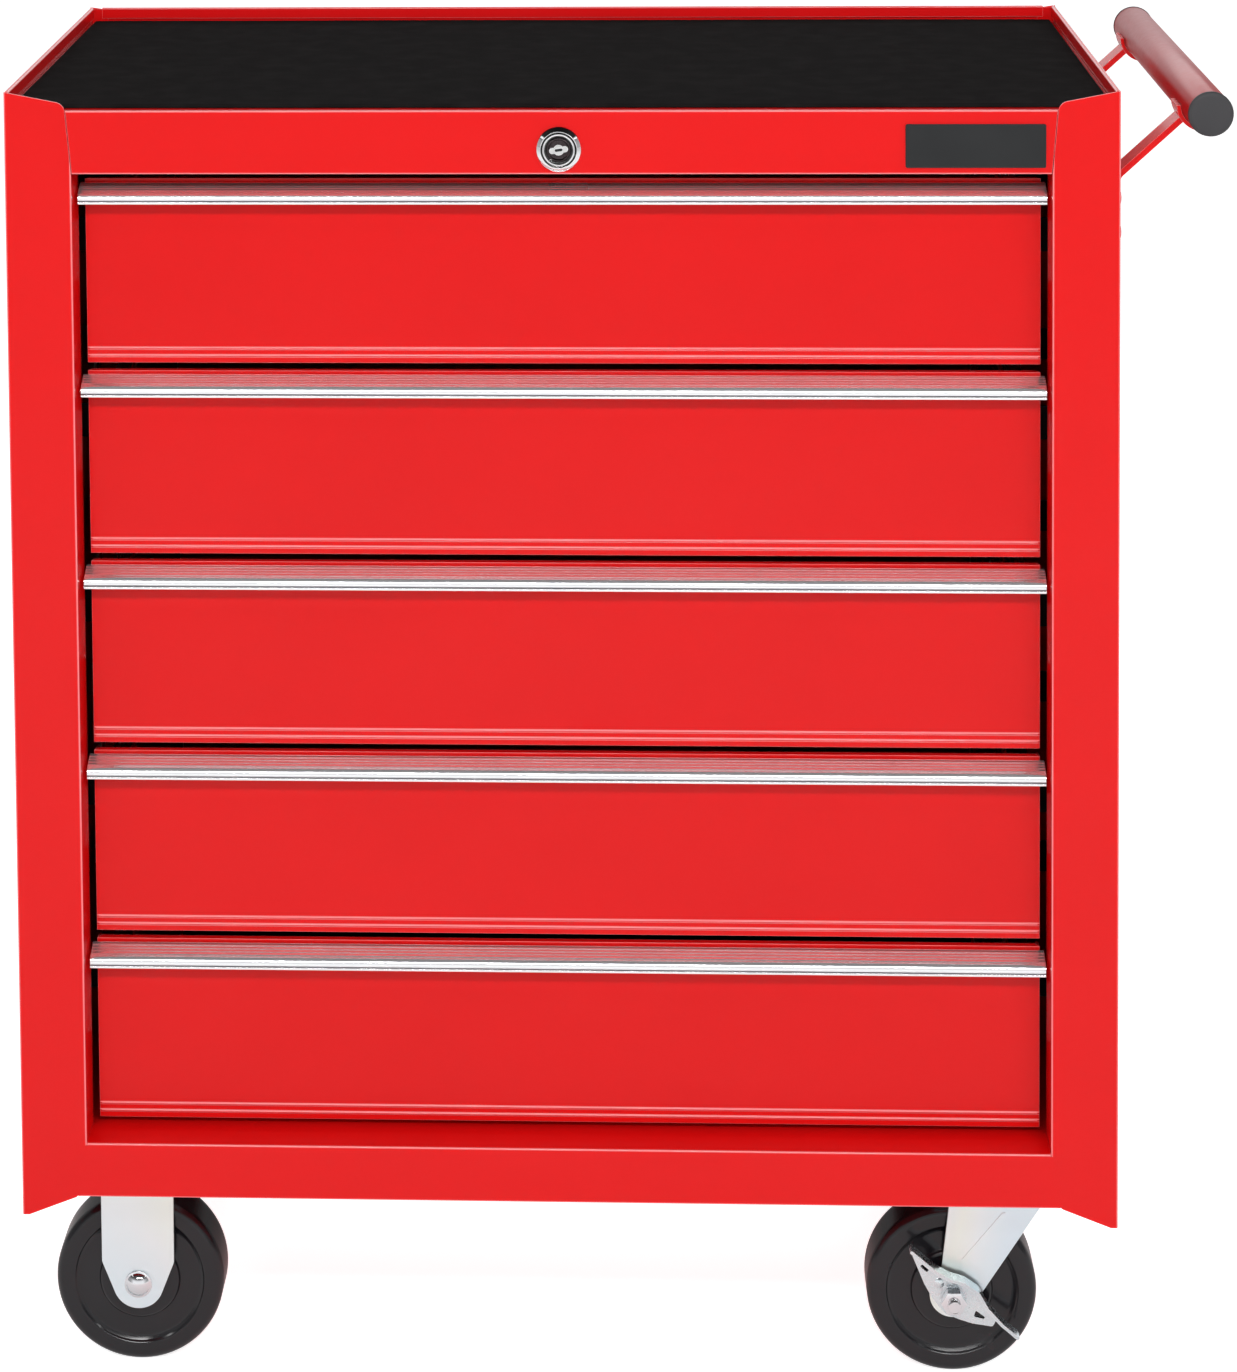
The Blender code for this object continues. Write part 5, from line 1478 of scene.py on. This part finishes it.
def pale_floor():
    floor = bmesh.new()
    bmesh.ops.create_grid(floor, x_segments=8, y_segments=8, size=15)
    plane = new_object("floor", floor)
    made, tree, shader = principled("pale_floor")
    speckle = noise(tree, 3, 2)
    seen = add(tree, "LightPath").outputs["Is Camera Ray"]
    fill(
        tree, shader,
        Base_Color=mixed(tree, speckle, (0.80, 0.80, 0.80), (0.84, 0.84, 0.84)),
        Specular_IOR_Level=0.1,
        Roughness=span(tree, speckle, 0.6, 0.7),
        Emission_Color=WHITE,
        Emission_Strength=span(tree, seen, 0.30, 0.84),
    )
    plane.data.materials.append(made)
    plane.location.z = CAD_BOX[0].z - 0.2 * MM


def studio_world():
    """White light, strongest from the level and dim from overhead and far aside; the camera sees white."""
    world = bpy.data.worlds.new("studio")
    bpy.context.scene.world = world
    world.use_nodes = True
    tree = world.node_tree
    tree.nodes.clear()
    direction = coordinates(tree, "Generated")
    light = ramp(tree, span(tree, component(tree, direction, "Z"), 0, 1, -1, 1), SKY)
    aside = add(tree, "Math", component(tree, direction, "X"), operation="ABSOLUTE")
    colour = mixed(tree, 1.0, light, ramp(tree, aside.outputs["Value"], SIDE_FLAGS), "MULTIPLY")
    lit = add(tree, "Background", colour, WORLD_STRENGTH).outputs["Background"]
    seen = add(tree, "Background", WHITE).outputs["Background"]
    choice = add(tree, "MixShader", add(tree, "LightPath").outputs["Is Camera Ray"], lit, seen)
    add(tree, "OutputWorld", Surface=choice.outputs["Shader"])


def soft_box(name, place_at, aim, size, energy):
    data = bpy.data.lights.new(name, "AREA")
    data.shape = "RECTANGLE"
    data.size, data.size_y = size
    data.energy = energy
    lamp = bpy.data.objects.new(name, data)
    lamp.location = place_at
    lamp.rotation_euler = (Vector(aim) - Vector(place_at)).to_track_quat("-Z", "Y").to_euler()
    bpy.context.scene.collection.objects.link(lamp)


def shift_only_here(camera, home, field, amount):
    """Lens shift that holds only while the camera stands at its home."""
    curve = camera.data.driver_add(field)
    for modifier in list(curve.modifiers):
        curve.modifiers.remove(modifier)
    curve.driver.type = "AVERAGE"
    variable = curve.driver.variables.new()
    variable.type = "LOC_DIFF"
    variable.targets[0].id = camera
    variable.targets[1].id = home
    for distance, value in ((0, amount), (50 * MM, 0)):
        key = curve.keyframe_points.insert(distance, value)
        key.interpolation = "CONSTANT"
    curve.extrapolation = "CONSTANT"


def studio_camera():
    """Product view from in front: nearly level, with the lens shifted down so that uprights stay upright."""
    data = bpy.data.cameras.new("camera")
    data.lens = CAMERA_LENS
    data.sensor_width = 36
    camera = bpy.data.objects.new("camera", data)
    bpy.context.scene.collection.objects.link(camera)
    yaw_sin, yaw_cos = math.sin(CAMERA_YAW), math.cos(CAMERA_YAW)
    reach = math.cos(CAMERA_PITCH)
    ahead = Vector((yaw_sin * reach, yaw_cos * reach, -math.sin(CAMERA_PITCH)))
    level = Vector((yaw_cos, -yaw_sin, 0))
    upright = level.cross(ahead)
    right = math.cos(CAMERA_ROLL) * level + math.sin(CAMERA_ROLL) * upright
    up = -math.sin(CAMERA_ROLL) * level + math.cos(CAMERA_ROLL) * upright
    camera.rotation_mode = "QUATERNION"
    camera.rotation_quaternion = Matrix((right, up, -ahead)).transposed().to_quaternion()
    camera.location = ORIGIN + Vector(CAMERA_PLACE)
    home = bpy.data.objects.new("camera_home", None)
    home.location = camera.location
    bpy.context.scene.collection.objects.link(home)
    for field, amount in CAMERA_SHIFT:
        shift_only_here(camera, home, field, amount)
    bpy.context.scene.camera = camera


pale_floor()
studio_world()
for settings in SOFT_BOXES:
    soft_box(*settings)
studio_camera()
bpy.context.scene.view_settings.view_transform = "Standard"
